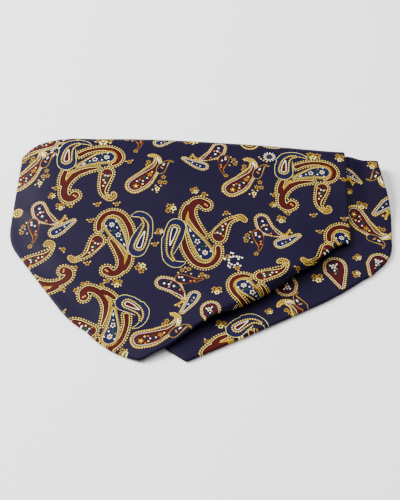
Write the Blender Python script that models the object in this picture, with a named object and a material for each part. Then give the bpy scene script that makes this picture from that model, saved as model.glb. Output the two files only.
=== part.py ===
"""A silk day cravat folded flat: two pointed blades stacked and turned over at the far edge.

Run with blender --background --python part.py, or from Blender's text editor.
The cloth lies on the ground at z = 0 with +Z up, its points towards -Y and its rolled fold at +Y.
Each blade is cut in the flat and laid in place by one function, so its wall keeps its thickness
down the slope, round the fold and under the curled hem.
"""

import math

import bpy
import numpy as np
from mathutils import Vector
from mathutils.geometry import delaunay_2d_cdt

MM = 0.001

# Driving sizes, in millimetres
WALL = 1.6  # silk, interlining and silk, turned in and pressed
GAP = 0.4  # between pieces that lie on each other
PLY = WALL + GAP  # one blade and its gap
UNDER_SHIFT = 18.5  # how far the lower blade shows to the right of the upper one
ROLL_ANGLE = math.radians(172)  # how far a blade turns round at the fold
HEM_CURL = math.radians(150)  # how far the curled hem turns down
HEM_CURL_LEAST = 1.95  # the tightest bend that the wall can take
HEM_CURL_GROWS = 1.1  # the further radius at which the hem turns down fully
HEM_SWELL = 16.0  # how far back from the hem its raised edge reaches
DROP_START = 1.5  # how far beyond a piece the one on top of it begins to sink back down
DROP_REACH = 8.0  # the lower blade sinks quickly beside the upper one's roll
SINK_REACH = 17.0  # the upper blade sinks slowly beyond the lower one's left edge
LAY_DEPTH = -50.0  # where the packet has thinned to a single blade, on its middle line
LAY_MIDDLE = -15.0
LAY_SLOPE = 0.7
LAY_ROUND = 20.0

# The far fold, from left to right: the crest's place and the outer radius of the roll
FOLD_COLUMNS = ("across", "crest_along", "radius")
FOLD = (
    (-88.0, 46.4, 4.9),
    (-80.0, 53.5, 6.2),
    (-70.0, 55.4, 6.8),
    (-45.0, 55.1, 7.3),
    (24.0, 53.4, 6.4),
    (69.0, 50.5, 5.5),
    (90.0, 49.8, 5.3),
)

# The upper blade's lower right hem, from its point to its right shoulder:
# how far the edge stands outside a straight line, and how high it is held off the lower blade
HEM_COLUMNS = ("share", "outward", "lift")
HEM = (
    (0.00, 0.0, 0.0),
    (0.13, 1.4, 0.5),
    (0.27, 0.3, 2.3),
    (0.42, 2.2, 3.8),
    (0.57, 3.3, 4.6),
    (0.72, 2.0, 4.3),
    (0.85, 1.5, 3.2),
    (0.94, -0.9, 1.5),
    (1.00, 0.0, 0.2),
)

# The blades' cut edges. bulge is how far the edge to the next corner bows outwards.
CORNER_COLUMNS = ("corner", "across", "along", "radius", "bulge")
FRONT_POINT = (-25.6, -65.4)
FRONT_SHOULDER = (69.0, 1.6)
FRONT_LEFT = (
    ("left at the crest", -84.9, 46.8, 12.0, 0.0),
    ("left shoulder", -88.2, 3.2, 8.0, 0.0),
    ("left elbow", -57.6, -43.4, 9.0, 2.6),
    ("point", FRONT_POINT[0], FRONT_POINT[1], 1.0, 0.0),
)
UNDER_EDGE = (
    ("left at the crest", -84.9 + UNDER_SHIFT, 46.8, 12.0, 0.0),
    ("left shoulder", -87.9 + UNDER_SHIFT, 3.0, 7.0, 3.6),
    ("point", -6.1, -65.6, 1.0, 0.3),
    ("elbow", 62.6, -28.2, 16.0, 0.6),
    ("right shoulder", 87.7, -6.8, 9.0, 0.0),
    ("right bend", 89.5, 25.0, 9.0, -0.2),
    ("right at the crest", 85.2, 50.0, 0.0, 0.0),
)

# The hidden lengths under the blades: the footprint, and its layers from the bottom up
CORE_EDGE = (
    ("far left", -77.5, 49.5, 9.0, 0.0),
    ("left", -82.0, 16.0, 12.0, 0.0),
    ("near left", -62.0, -1.0, 14.0, 2.0),
    ("near", -12.0, -17.0, 18.0, 2.0),
    ("near right", 50.0, 4.0, 12.0, 1.0),
    ("right", 82.0, 24.0, 10.0, 0.0),
    ("far right", 81.0, 49.0, 4.0, 0.0),
)
LAYER_COLUMNS = ("thickness_share", "set_in")
LAYERS = (
    (0.28, 0.2),
    (0.26, 1.7),
    (0.22, 0.6),
    (0.24, 2.1),
)
FOLD_SIDE_COLUMNS = ("share_of_layer", "share_of_bow")
FOLD_SIDE = (
    (0.06, 0.35),
    (0.30, 0.90),
    (0.60, 1.00),
    (0.94, 0.35),
)
LAYER_BULGE = 1.1  # the most that one fold bows out
BULGE_SHARE = 0.36  # of a fold's own thickness
NOSE_SET_BACK = 0.7  # the core's far side under the fold
NOSE_SLACK = 0.25  # how far its rounded far side keeps within the fold
NOSE_NORMALS = (0.35, 0.9)
NOSE_LEAST = 0.2  # the smallest radius of that far side
SET_IN_SHARE = 0.5  # of the height, the most that a layer is set in where the packet is thin

# Mesh spacing
BLADE_STEP = 6.0
ROLL_STEP = 2.1
CURL_TURN = math.radians(32)
CURL_CLEAR = 2.5  # inner points keep this far back from a curl
CURL_LEAST = 0.05  # radians; a hem that turns less is meshed as flat
EDGE_CLEAR = 0.6
CORNER_SHARE = 0.45  # of the way to the next corner, the most that a rounding takes
SHARP = math.radians(40)
EDGE_STEP = 3.2
CORE_STEP = 7.0
CORE_EDGE_STEP = 5.0


def column(table, columns, name):
    return np.array([row[columns.index(name)] for row in table], float)


def ease(x):
    """A soft step from 0 to 1."""
    x = np.clip(x, 0.0, 1.0)
    return x * x * (3.0 - 2.0 * x)


def along_table(at, table, columns, key, name):
    """A table's column as a smooth curve through its rows."""
    keys = column(table, columns, key)
    values = column(table, columns, name)
    slopes = np.gradient(values, keys)
    at = np.clip(at, keys[0], keys[-1])
    row = np.clip(np.searchsorted(keys, at) - 1, 0, len(keys) - 2)
    span = keys[row + 1] - keys[row]
    t = (at - keys[row]) / span
    return (
        values[row] * (1 + 2 * t) * (1 - t) ** 2
        + slopes[row] * span * t * (1 - t) ** 2
        + values[row + 1] * t * t * (3 - 2 * t)
        + slopes[row + 1] * span * t * t * (t - 1)
    )


def crest_along(across):
    return along_table(across, FOLD, FOLD_COLUMNS, "across", "crest_along")


def fold_radius(across):
    return along_table(across, FOLD, FOLD_COLUMNS, "across", "radius")


def bowed(start, end, bulge, step):
    """Points of an edge from start up to end, on an arc that bows to its right by bulge."""
    start, end = np.array(start), np.array(end)
    length = np.linalg.norm(end - start)
    count = max(1, round(length / step))
    share = np.arange(count)[:, None] / count
    right = np.array([end[1] - start[1], start[0] - end[0]]) / length
    return start + (end - start) * share + right * bulge * 4 * share * (1 - share)


def rounded(corners, closed, step):
    """The points of an outline, anticlockwise, with its corners rounded."""
    across = column(corners, CORNER_COLUMNS, "across")
    along = column(corners, CORNER_COLUMNS, "along")
    bulges = column(corners, CORNER_COLUMNS, "bulge")
    places = np.column_stack([across, along])
    count = len(corners)
    legs = []
    for i, radius in enumerate(column(corners, CORNER_COLUMNS, "radius")):
        if not closed and i in (0, count - 1) or radius <= 0:
            legs.append((places[i], places[i], None))
            continue
        before = places[i - 1] - places[i]
        after = places[(i + 1) % count] - places[i]
        before, reach_before = before / np.linalg.norm(before), np.linalg.norm(before)
        after, reach_after = after / np.linalg.norm(after), np.linalg.norm(after)
        cut = min(radius, CORNER_SHARE * reach_before, CORNER_SHARE * reach_after)
        legs.append((places[i] + before * cut, places[i] + after * cut, places[i]))
    points = []
    for i in range(count):
        enter, leave, corner = legs[i]
        if corner is not None:
            turns = max(2, round(1.5 * math.dist(enter, corner) / step))
            for t in np.arange(turns) / turns:
                points.append((1 - t) ** 2 * enter + 2 * t * (1 - t) * corner + t * t * leave)
        if closed or i < count - 1:
            points.extend(bowed(leave, legs[(i + 1) % count][0], bulges[i], step))
        else:
            points.append(leave)
    return np.array(points)


def distance_outside(points, outline):
    """How far each point lies outside a closed outline; negative inside."""
    starts, ends = outline, np.roll(outline, -1, axis=0)
    nearest = np.full(len(points), np.inf)
    inside = np.zeros(len(points), bool)
    for (ax, ay), (bx, by) in zip(starts, ends):
        x, y = points[:, 0] - ax, points[:, 1] - ay
        dx, dy = bx - ax, by - ay
        t = np.clip((x * dx + y * dy) / (dx * dx + dy * dy), 0, 1)
        nearest = np.minimum(nearest, np.hypot(x - t * dx, y - t * dy))
        crosses = (ay > points[:, 1]) != (by > points[:, 1])
        with np.errstate(divide="ignore", invalid="ignore"):
            left_of = points[:, 0] < ax + (points[:, 1] - ay) * dx / dy
        inside ^= crosses & left_of
    return np.where(inside, -nearest, nearest)


# The heights of the stack, as functions of the place on the ground


def beyond_front(across):
    """0 where the upper blade covers the lower one's roll, 1 clear of it to the right."""
    return ease((across - FRONT_SHOULDER[0] - DROP_START) / DROP_REACH)


def lay_along(across):
    """Where the packet has thinned to nothing but the blades."""
    away = np.hypot(across - LAY_MIDDLE, LAY_ROUND) - LAY_ROUND
    return LAY_DEPTH + LAY_SLOPE * away


def core_top(across, along):
    """The height on which the lower blade lies."""
    crest = crest_along(across)
    at_crest = 2 * fold_radius(across) - WALL - PLY - PLY * beyond_front(across)
    share = (crest - along) / (crest - lay_along(across))
    return at_crest * (1 - ease(share))


def hem_frame(across, along):
    """A place by its share along the upper blade's lower right hem, and its distance outside it."""
    length = math.dist(FRONT_POINT, FRONT_SHOULDER)
    run_x = (FRONT_SHOULDER[0] - FRONT_POINT[0]) / length
    run_y = (FRONT_SHOULDER[1] - FRONT_POINT[1]) / length
    x, y = across - FRONT_POINT[0], along - FRONT_POINT[1]
    return (x * run_x + y * run_y) / length, x * run_y - y * run_x, (run_x, run_y)


def hem_roll(share):
    """The curled hem's start, radius and turn at a share of its length."""
    lift = along_table(share, HEM, HEM_COLUMNS, "share", "lift")
    outward = along_table(share, HEM, HEM_COLUMNS, "share", "outward")
    natural = (lift + WALL) / 2
    turn = HEM_CURL * ease((natural - HEM_CURL_LEAST) / HEM_CURL_GROWS)
    radius = np.maximum(natural, HEM_CURL_LEAST)
    start = outward - radius * np.sin(np.minimum(turn, math.pi / 2))
    return start, radius, turn, lift


def front_top(across, along, under_cut):
    """The height of the upper blade's outer face."""
    places = np.column_stack([across, along])
    beyond_under = distance_outside(places, under_cut) - DROP_START
    sink = PLY * ease(beyond_under / SINK_REACH)
    share, outside, _ = hem_frame(across, along)
    start, _, _, lift = hem_roll(share)
    swell = lift * np.exp(-((np.minimum(outside - start, 0.0) / HEM_SWELL) ** 2))
    return core_top(across, along) + WALL + PLY - sink + swell


def under_top(across, along):
    """The height of the lower blade's outer face."""
    return core_top(across, along) + WALL


def over_the_fold(across, along, up, top, radius):
    """Lays flat cloth on the stack: down its slope, and round the roll beyond the crest."""
    crest = crest_along(across)
    past = np.maximum(along - crest, 0.0)
    angle = past / radius
    height = top(across, np.minimum(along, crest))
    y = np.where(past > 0, crest + (radius + up) * np.sin(angle), along)
    z = height + np.where(past > 0, (radius + up) * np.cos(angle) - radius, up)
    return np.column_stack([across, y, z])


def lay_front(flat, up, under_cut):
    """The upper blade's place: its hem curls first, then the whole blade goes over the fold."""
    across, along = flat[:, 0], flat[:, 1]
    share, outside, (run_x, run_y) = hem_frame(across, along)
    start, radius, _, _ = hem_roll(share)
    turn = np.maximum(outside - start, 0.0) / radius
    moved = np.where(turn > 0, start + (radius + up) * np.sin(turn) - outside, 0.0)
    sunk = np.where(turn > 0, (radius + up) * np.cos(turn) - radius, up)
    across = across + moved * run_y
    along = along - moved * run_x

    def top(x, y):
        return front_top(x, y, under_cut)

    return over_the_fold(across, along, sunk, top, front_radius(across, under_cut))


def lay_under(flat, up):
    across, along = flat[:, 0], flat[:, 1]
    return over_the_fold(across, along, np.full(len(flat), up), under_top, under_radius(across))


# Cutting the blades in the flat


def round_the_fold(edge, radius):
    """Closes a blade's cut edge from its right side to its left, round the fold and under it."""
    left, right = edge[0], edge[-1]
    across = np.linspace(right[0], left[0], round((right[0] - left[0]) / EDGE_STEP))
    end = np.column_stack([across, crest_along(across) + radius(across) * ROLL_ANGLE])
    up = bowed(right, end[0], 0.0, ROLL_STEP)[1:]
    down = bowed(end[-1], left, 0.0, ROLL_STEP)[1:]
    return np.vstack([edge, up, end, down])


def front_radius(across, under_cut):
    """The upper blade's roll stands on the ground, so it is half as thick as the stack is high."""
    return front_top(across, crest_along(across), under_cut) / 2


def under_radius(across):
    return fold_radius(across) - PLY


def front_outline(under_cut):
    """The upper blade's cut edge, with the length that its hem takes up in the curl."""
    left = rounded(FRONT_LEFT, False, EDGE_STEP)
    count = round(math.dist(FRONT_POINT, FRONT_SHOULDER) / EDGE_STEP)
    share = np.arange(1, count + 1) / count
    start, radius, turn, _ = hem_roll(share)
    edge = start + radius * turn
    line = np.array(FRONT_POINT) + share[:, None] * (np.array(FRONT_SHOULDER) - FRONT_POINT)
    _, _, (run_x, run_y) = hem_frame(0.0, 0.0)
    hem = line + edge[:, None] * np.array([run_y, -run_x])
    return round_the_fold(np.vstack([left, hem]), lambda across: front_radius(across, under_cut))


def under_outline():
    """The lower blade's cut edge."""
    return round_the_fold(rounded(UNDER_EDGE, False, EDGE_STEP), under_radius)


def curl_rows():
    """Points in rows along the curled hem, one row for each small turn of the cloth."""
    count = round(math.dist(FRONT_POINT, FRONT_SHOULDER) / EDGE_STEP)
    share = (np.arange(count) + 0.5) / count
    start, radius, turn, _ = hem_roll(share)
    line = np.array(FRONT_POINT) + share[:, None] * (np.array(FRONT_SHOULDER) - FRONT_POINT)
    _, _, (run_x, run_y) = hem_frame(0.0, 0.0)
    rows = []
    for k in range(round(HEM_CURL / CURL_TURN)):
        outside = start + radius * CURL_TURN * (k - 0.25)
        keep = outside < start + radius * turn - EDGE_CLEAR
        rows.append((line + outside[:, None] * np.array([run_y, -run_x]))[keep])
    return np.vstack(rows)


def clear_of_curl(points):
    """The points that don't lie in the curled hem."""
    share, outside, _ = hem_frame(points[:, 0], points[:, 1])
    start, _, turn, _ = hem_roll(share)
    curled = (share > 0) & (share < 1) & (turn > CURL_LEAST)
    in_curl = curled & (outside > start - CURL_CLEAR)
    return points[~in_curl]


def filling(outline, step, roll_step):
    """Staggered points inside an outline, closer together where the cloth goes round the fold."""
    low, high = outline.min(axis=0), outline.max(axis=0)
    rows, along = [], low[1] + step / 2
    while along < high[1]:
        rows.append(along)
        along += roll_step if along > FOLD[0][1] else step
    points = []
    for i, along in enumerate(rows):
        across = np.arange(low[0] + step / 2 * (i % 2), high[0], step)
        points.append(np.column_stack([across, np.full(len(across), along)]))
    points = np.vstack(points)
    clear = 0.45 * min(step, roll_step * 1.6)
    return points[distance_outside(points, outline) < -clear]


def triangles_in(outline, inner):
    """The outline and inner points as triangles, the outline's points first."""
    count = len(outline)
    places = [Vector(p) for p in np.vstack([outline, inner])]
    ring = list(range(count))
    made = delaunay_2d_cdt(places, [], [ring], 1, 1e-6)
    if len(made[0]) != len(places):
        raise ValueError("an outline crosses itself")
    return [tuple(face) for face in made[2]]


def closed_mesh(name, points, faces, colour):
    mesh = bpy.data.meshes.new(name)
    mesh.from_pydata((np.asarray(points) * MM).tolist(), [], faces)
    mesh.validate()
    mesh.shade_smooth()
    mesh.set_sharp_from_angle(angle=SHARP)
    obj = bpy.data.objects.new(name, mesh)
    bpy.context.scene.collection.objects.link(obj)
    mesh.materials.append(silk_material(name + " silk", colour))
    return obj


def silk_material(name, colour):
    material = bpy.data.materials.new(name)
    material.use_nodes = True
    shader = material.node_tree.nodes["Principled BSDF"]
    shader.inputs["Base Color"].default_value = (*colour, 1.0)
    shader.inputs["Roughness"].default_value = 0.55
    shader.inputs["Metallic"].default_value = 0.0
    return material


def cloth(name, outline, inner, place, colour):
    """A closed wall of cloth between its outer face and one that lies a wall's thickness below."""
    flat = np.vstack([outline, inner])
    faces = triangles_in(outline, inner)
    count, rim = len(flat), len(outline)
    points = np.vstack([place(flat, 0.0), place(flat, -WALL)])
    under = [(c + count, b + count, a + count) for a, b, c in faces]
    sides = []
    for i in range(rim):
        j = (i + 1) % rim
        sides.append((i, i + count, j + count, j))
    return closed_mesh(name, points, faces + under + sides, colour)


def outward_of(outline):
    """The outward direction at each point of a closed outline."""
    run = np.roll(outline, -1, axis=0) - np.roll(outline, 1, axis=0)
    out = np.column_stack([run[:, 1], -run[:, 0]])
    return out / np.linalg.norm(out, axis=1)[:, None]


def layer_rows():
    """The core's side from the ground up: height share, bow, set in and layer thickness share."""
    rows, height = [], 0.0
    thicknesses = column(LAYERS, LAYER_COLUMNS, "thickness_share")
    set_ins = column(LAYERS, LAYER_COLUMNS, "set_in")
    parts = column(FOLD_SIDE, FOLD_SIDE_COLUMNS, "share_of_layer")
    bows = column(FOLD_SIDE, FOLD_SIDE_COLUMNS, "share_of_bow")
    for share, set_in in zip(thicknesses, set_ins):
        for part, bow in zip(parts, bows):
            rows.append((height + share * part, bow, set_in, share))
        height += share
    return rows


def hidden_core(colour):
    """The blades' upper ends and the neck band folded away beneath, as one layered solid."""
    outline = rounded(CORE_EDGE, True, CORE_EDGE_STEP)
    outline[:, 1] = np.minimum(outline[:, 1], crest_along(outline[:, 0]))
    inner = filling(outline, CORE_STEP, CORE_STEP)
    faces = triangles_in(outline, inner)
    flat = np.vstack([outline, inner])
    rim, count = len(outline), len(flat)
    out = outward_of(outline)
    top = core_top(flat[:, 0], flat[:, 1]) - GAP
    at_fold = ease((out[:, 1] - NOSE_NORMALS[0]) / (NOSE_NORMALS[1] - NOSE_NORMALS[0]))
    nose = np.maximum(fold_radius(outline[:, 0]) - 2 * PLY, NOSE_LEAST)
    middle = top[:rim] - nose
    rings = []
    for share, bow, set_in, thick in layer_rows():
        height = share * top[:rim]
        bulge = np.minimum(LAYER_BULGE, BULGE_SHARE * thick * top[:rim])
        side = bow * bulge - np.minimum(set_in, SET_IN_SHARE * top[:rim])
        reach = nose ** 2 - (height - middle) ** 2
        tip = np.where(reach > 0, np.sqrt(np.maximum(reach, 0.0)) - NOSE_SLACK, -NOSE_SET_BACK)
        offset = (1 - at_fold) * side + at_fold * tip
        rings.append(np.column_stack([outline + out * offset[:, None], height]))
    base = rings[0].copy()
    base[:, 2] = 0.0
    inner_top = np.column_stack([inner, top[rim:]])
    inner_base = np.column_stack([inner, np.zeros(len(inner))])
    top_set_in = column(LAYERS, LAYER_COLUMNS, "set_in")[-1]
    lid_in = np.minimum(top_set_in, SET_IN_SHARE * top[:rim]) * (1 - at_fold)
    lid = outline - out * lid_in[:, None]
    lid = np.column_stack([lid, top[:rim]])
    points = np.vstack([lid, inner_top, base, inner_base] + rings)
    under = [(c + count, b + count, a + count) for a, b, c in faces]
    first = 2 * count
    levels = [count] + [first + k * rim for k in range(len(rings))] + [0]
    sides = []
    for low, high in zip(levels, levels[1:]):
        for i in range(rim):
            j = (i + 1) % rim
            sides.append((low + i, low + j, high + j, high + i))
    return closed_mesh("hidden_folds", points, faces + under + sides, colour)


def centre_on_ground(objects):
    """Moves the meshes so that the middle of their box on the ground is the origin."""
    corners = np.array([v.co for obj in objects for v in obj.data.vertices])
    low, high = corners.min(axis=0), corners.max(axis=0)
    shift = np.array([(low[0] + high[0]) / 2, (low[1] + high[1]) / 2, low[2]])
    for obj in objects:
        for vertex in obj.data.vertices:
            vertex.co -= Vector(shift)


def main():
    for obj in list(bpy.data.objects):
        bpy.data.objects.remove(obj)
    under_cut = under_outline()
    front_cut = front_outline(under_cut)
    front_fill = clear_of_curl(filling(front_cut, BLADE_STEP, ROLL_STEP))
    front = cloth(
        "blade_front",
        front_cut,
        np.vstack([front_fill, curl_rows()]),
        lambda flat, up: lay_front(flat, up, under_cut),
        (0.026, 0.022, 0.050),
    )
    under = cloth(
        "blade_under",
        under_cut,
        filling(under_cut, BLADE_STEP, ROLL_STEP),
        lay_under,
        (0.023, 0.020, 0.045),
    )
    core = hidden_core((0.020, 0.018, 0.040))
    centre_on_ground([front, under, core])


main()
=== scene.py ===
# %% [markdown]
# # A silk cravat, folded flat
# A cravat is one long band of printed silk with a broad pointed blade at each end. Here it lies
# as it is kept in a drawer: the two blades are stacked a finger's width apart, and the cloth
# turns over at the far edge in a soft roll, with the pleated band tucked in beneath it.
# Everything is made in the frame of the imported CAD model, so the first thing to do is load it.

import math

import bpy
import numpy as np
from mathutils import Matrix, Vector
from mathutils.geometry import delaunay_2d_cdt


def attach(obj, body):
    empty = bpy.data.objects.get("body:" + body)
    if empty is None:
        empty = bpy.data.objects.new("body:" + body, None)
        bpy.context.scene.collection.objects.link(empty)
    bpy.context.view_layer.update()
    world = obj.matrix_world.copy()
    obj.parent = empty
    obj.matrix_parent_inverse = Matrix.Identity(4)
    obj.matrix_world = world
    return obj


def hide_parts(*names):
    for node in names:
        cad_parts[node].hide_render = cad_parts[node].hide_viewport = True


MM = 0.001

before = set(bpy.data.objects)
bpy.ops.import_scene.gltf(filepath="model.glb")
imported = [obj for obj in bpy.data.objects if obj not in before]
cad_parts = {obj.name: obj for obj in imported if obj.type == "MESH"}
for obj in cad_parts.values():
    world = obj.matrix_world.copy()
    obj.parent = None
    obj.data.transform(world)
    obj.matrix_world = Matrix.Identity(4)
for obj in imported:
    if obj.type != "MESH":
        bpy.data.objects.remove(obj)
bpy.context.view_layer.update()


# %% [markdown]
# The camera comes first, because everything after it is judged through it. It stands in front
# of the points and looks down at them, about as a person at a table does. The distance and
# the lens together set how strongly the far edge narrows, so both were worked out from the
# blade's real width before any cloth was drawn.

# %% Camera
CAMERA_DROP = math.radians(48.0)
CAMERA_DISTANCE = 0.7246
CAMERA_LENS = 113.76  # mm, on a 36 mm sensor along the picture's long side
CAMERA_TARGET = Vector((-0.000765, 0.00127, 0.0))

camera_data = bpy.data.cameras.new("camera")
camera_data.sensor_width = 36.0
camera_data.lens = CAMERA_LENS
camera = bpy.data.objects.new("camera", camera_data)
bpy.context.scene.collection.objects.link(camera)
camera_way = Vector((0.0, -math.cos(CAMERA_DROP), math.sin(CAMERA_DROP)))
camera.location = CAMERA_TARGET + camera_way * CAMERA_DISTANCE
camera.rotation_euler = (-camera_way).to_track_quat("-Z", "Y").to_euler()
bpy.context.scene.camera = camera
print("camera at", [round(c, 4) for c in camera.location])


# %% [markdown]
# Folded cloth is easiest to build the way it is made: cut flat, then laid. These are the
# cravat's driving sizes, in millimetres. The CAD solids use the same ones, so the printed silk
# lands exactly on the solid that carries it in the simulation.

# %% Sizes of the stack
WALL = 1.6  # silk, interlining and silk, turned in and pressed
GAP = 0.4  # between pieces that lie on each other
PLY = WALL + GAP
UNDER_SHIFT = 18.5  # how far the lower blade shows to the right of the upper one
ROLL_ANGLE = math.radians(172)  # how far round the far fold each blade goes before it ends
HEM_CURL = math.radians(150)  # how far the curled hem turns where it is highest
HEM_CURL_LEAST = 1.95  # the radius at which the hem begins to curl
HEM_CURL_GROWS = 1.1  # and how much more it takes to curl fully
HEM_SWELL = 16.0  # how far in from the curl the blade is lifted
DROP_START = 1.5  # outside an edge, where the cloth above begins to sink
DROP_REACH = 8.0  # how far on it has sunk past the right end of the fold
SINK_REACH = 17.0  # and past the lower blade's left edge
# The packet thins to nothing along a shallow V that opens away from us
LAY_DEPTH = -50.0  # along, where the V is nearest to us
LAY_MIDDLE = -15.0  # across, in the same place
LAY_SLOPE = 0.7  # of its two sides
LAY_ROUND = 20.0  # the radius of its rounded bottom
CENTRE = np.array([0.765, -1.27, 0.0])  # of the stack's box, where these tables measure from
print("two layers of cloth are", 2 * PLY - GAP, "mm thick")


# %% [markdown]
# Some sizes change along an edge, so they are tables, with a row for each place where the shape
# changes. The far fold is lower and nearer at its right end. The hem of the upper blade lifts
# and bows out in its middle, where the silk has curled.

# %% The fold, the hem and the cut edges
# The far fold, from left to right: the crest's place and the outer radius of the roll
FOLD_COLUMNS = ("across", "crest_along", "radius")
FOLD = (
    (-88.0, 46.4, 4.9),
    (-80.0, 53.5, 6.2),
    (-70.0, 55.4, 6.8),
    (-45.0, 55.1, 7.3),
    (24.0, 53.4, 6.4),
    (69.0, 50.5, 5.5),
    (90.0, 49.8, 5.3),
)

# The upper blade's lower right hem, from its point to its right shoulder
HEM_COLUMNS = ("share", "outward", "lift")
HEM = (
    (0.00, 0.0, 0.0),
    (0.13, 1.4, 0.5),
    (0.27, 0.3, 2.3),
    (0.42, 2.2, 3.8),
    (0.57, 3.3, 4.6),
    (0.72, 2.0, 4.3),
    (0.85, 1.5, 3.2),
    (0.94, -0.9, 1.5),
    (1.00, 0.0, 0.2),
)

# The blades' cut edges: corner, across, along, radius, and how far the next edge bows out
FRONT_POINT = (-25.6, -65.4)
FRONT_SHOULDER = (69.0, 1.6)
FRONT_LEFT = (
    ("left at the crest", -84.9, 46.8, 12.0, 0.0),
    ("left shoulder", -88.2, 3.2, 8.0, 0.0),
    ("left elbow", -57.6, -43.4, 9.0, 2.6),
    ("point", FRONT_POINT[0], FRONT_POINT[1], 1.0, 0.0),
)
UNDER_EDGE = (
    ("left at the crest", -84.9 + UNDER_SHIFT, 46.8, 12.0, 0.0),
    ("left shoulder", -87.9 + UNDER_SHIFT, 3.0, 7.0, 3.6),
    ("point", -6.1, -65.6, 1.0, 0.3),
    ("elbow", 62.6, -28.2, 16.0, 0.6),
    ("right shoulder", 87.7, -6.8, 9.0, 0.0),
    ("right bend", 89.5, 25.0, 9.0, -0.2),
    ("right at the crest", 85.2, 50.0, 0.0, 0.0),
)
print("one blade is", round(FRONT_SHOULDER[0] - FRONT_LEFT[1][1], 1), "mm wide")


# %% [markdown]
# A few small tools do all the drawing. The first reads a table as a smooth curve through its
# rows, so the cloth never shows where one row ends and the next begins. Straight lines between
# the rows would leave a kink in the roll at each of them.

# %% Curves through a table's rows
def column(table, columns, name):
    return np.array([row[columns.index(name)] for row in table], float)


def ease(x):
    """A soft step from 0 to 1."""
    x = np.clip(x, 0.0, 1.0)
    return x * x * (3.0 - 2.0 * x)


def along_table(at, table, columns, key, name):
    """A table's column as a smooth curve through its rows."""
    keys = column(table, columns, key)
    values = column(table, columns, name)
    slopes = np.gradient(values, keys)
    at = np.clip(at, keys[0], keys[-1])
    row = np.clip(np.searchsorted(keys, at) - 1, 0, len(keys) - 2)
    span = keys[row + 1] - keys[row]
    t = (at - keys[row]) / span
    return (
        values[row] * (1 + 2 * t) * (1 - t) ** 2
        + slopes[row] * span * t * (1 - t) ** 2
        + values[row + 1] * t * t * (3 - 2 * t)
        + slopes[row + 1] * span * t * t * (t - 1)
    )


print("a soft step passes its middle at", ease(0.5))


# %% [markdown]
# The second kind draws an outline from a table of corners. A blade's corners are pressed, not
# knife sharp, so each has a radius, and its long edges bow out a little, as cut silk does.

# %% Outlines with rounded corners
CORNER_REACH = 0.45  # the most of an edge that a rounded corner takes up
CORNER_POINTS = 1.5  # points on a corner for each step that it is long


def bowed(start, end, bulge, step):
    """Points of an edge from start up to end, on an arc that bows to its right by bulge."""
    start, end = np.array(start), np.array(end)
    length = np.linalg.norm(end - start)
    count = max(1, round(length / step))
    share = np.arange(count)[:, None] / count
    right = np.array([end[1] - start[1], start[0] - end[0]]) / length
    return start + (end - start) * share + right * bulge * 4 * share * (1 - share)


def rounded(corners, closed, step):
    """The points of an outline, anticlockwise, with its corners rounded."""
    places = [np.array(row[1:3]) for row in corners]
    count = len(corners)
    legs = []
    for i, (_, _, _, radius, _) in enumerate(corners):
        if not closed and i in (0, count - 1) or radius <= 0:
            legs.append((places[i], places[i], None))
            continue
        before = places[i - 1] - places[i]
        after = places[(i + 1) % count] - places[i]
        before, reach_before = before / np.linalg.norm(before), np.linalg.norm(before)
        after, reach_after = after / np.linalg.norm(after), np.linalg.norm(after)
        cut = min(radius, CORNER_REACH * reach_before, CORNER_REACH * reach_after)
        legs.append((places[i] + before * cut, places[i] + after * cut, places[i]))
    points = []
    for i in range(count):
        enter, leave, corner = legs[i]
        if corner is not None:
            turns = max(2, round(CORNER_POINTS * math.dist(enter, corner) / step))
            for t in np.arange(turns) / turns:
                points.append((1 - t) ** 2 * enter + 2 * t * (1 - t) * corner + t * t * leave)
        if closed or i < count - 1:
            points.extend(bowed(leave, legs[(i + 1) % count][0], corners[i][4], step))
        else:
            points.append(leave)
    return np.array(points)


print("the lower blade's side and hem have", len(rounded(UNDER_EDGE, False, 1.0)), "points")


# %% [markdown]
# The third kind measures: how far a place lies outside an outline, and which way is outwards.
# The upper blade sinks where it passes the lower one's edge, so the laying asks for this
# distance at every point. Counting the edges crossed tells inside from outside.

# %% Distances from an outline
def distance_outside(points, outline):
    """How far each point lies outside a closed outline; negative inside."""
    starts, ends = outline, np.roll(outline, -1, axis=0)
    nearest = np.full(len(points), np.inf)
    inside = np.zeros(len(points), bool)
    for (ax, ay), (bx, by) in zip(starts, ends):
        x, y = points[:, 0] - ax, points[:, 1] - ay
        dx, dy = bx - ax, by - ay
        t = np.clip((x * dx + y * dy) / (dx * dx + dy * dy), 0, 1)
        nearest = np.minimum(nearest, np.hypot(x - t * dx, y - t * dy))
        crosses = (ay > points[:, 1]) != (by > points[:, 1])
        with np.errstate(divide="ignore", invalid="ignore"):
            left_of = points[:, 0] < ax + (points[:, 1] - ay) * dx / dy
        inside ^= crosses & left_of
    return np.where(inside, -nearest, nearest)


def outward_of(outline):
    """The outward direction at each point of a closed outline."""
    run = np.roll(outline, -1, axis=0) - np.roll(outline, 1, axis=0)
    out = np.column_stack([run[:, 1], -run[:, 0]])
    return out / np.linalg.norm(out, axis=1)[:, None]


square = np.array([(0.0, 0.0), (2.0, 0.0), (2.0, 2.0), (0.0, 2.0)])
print("a square of", len(square), "corners, 2 mm wide")
print("its middle lies", distance_outside(np.array([(1.0, 1.0)]), square)[0], "mm outside it")
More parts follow.
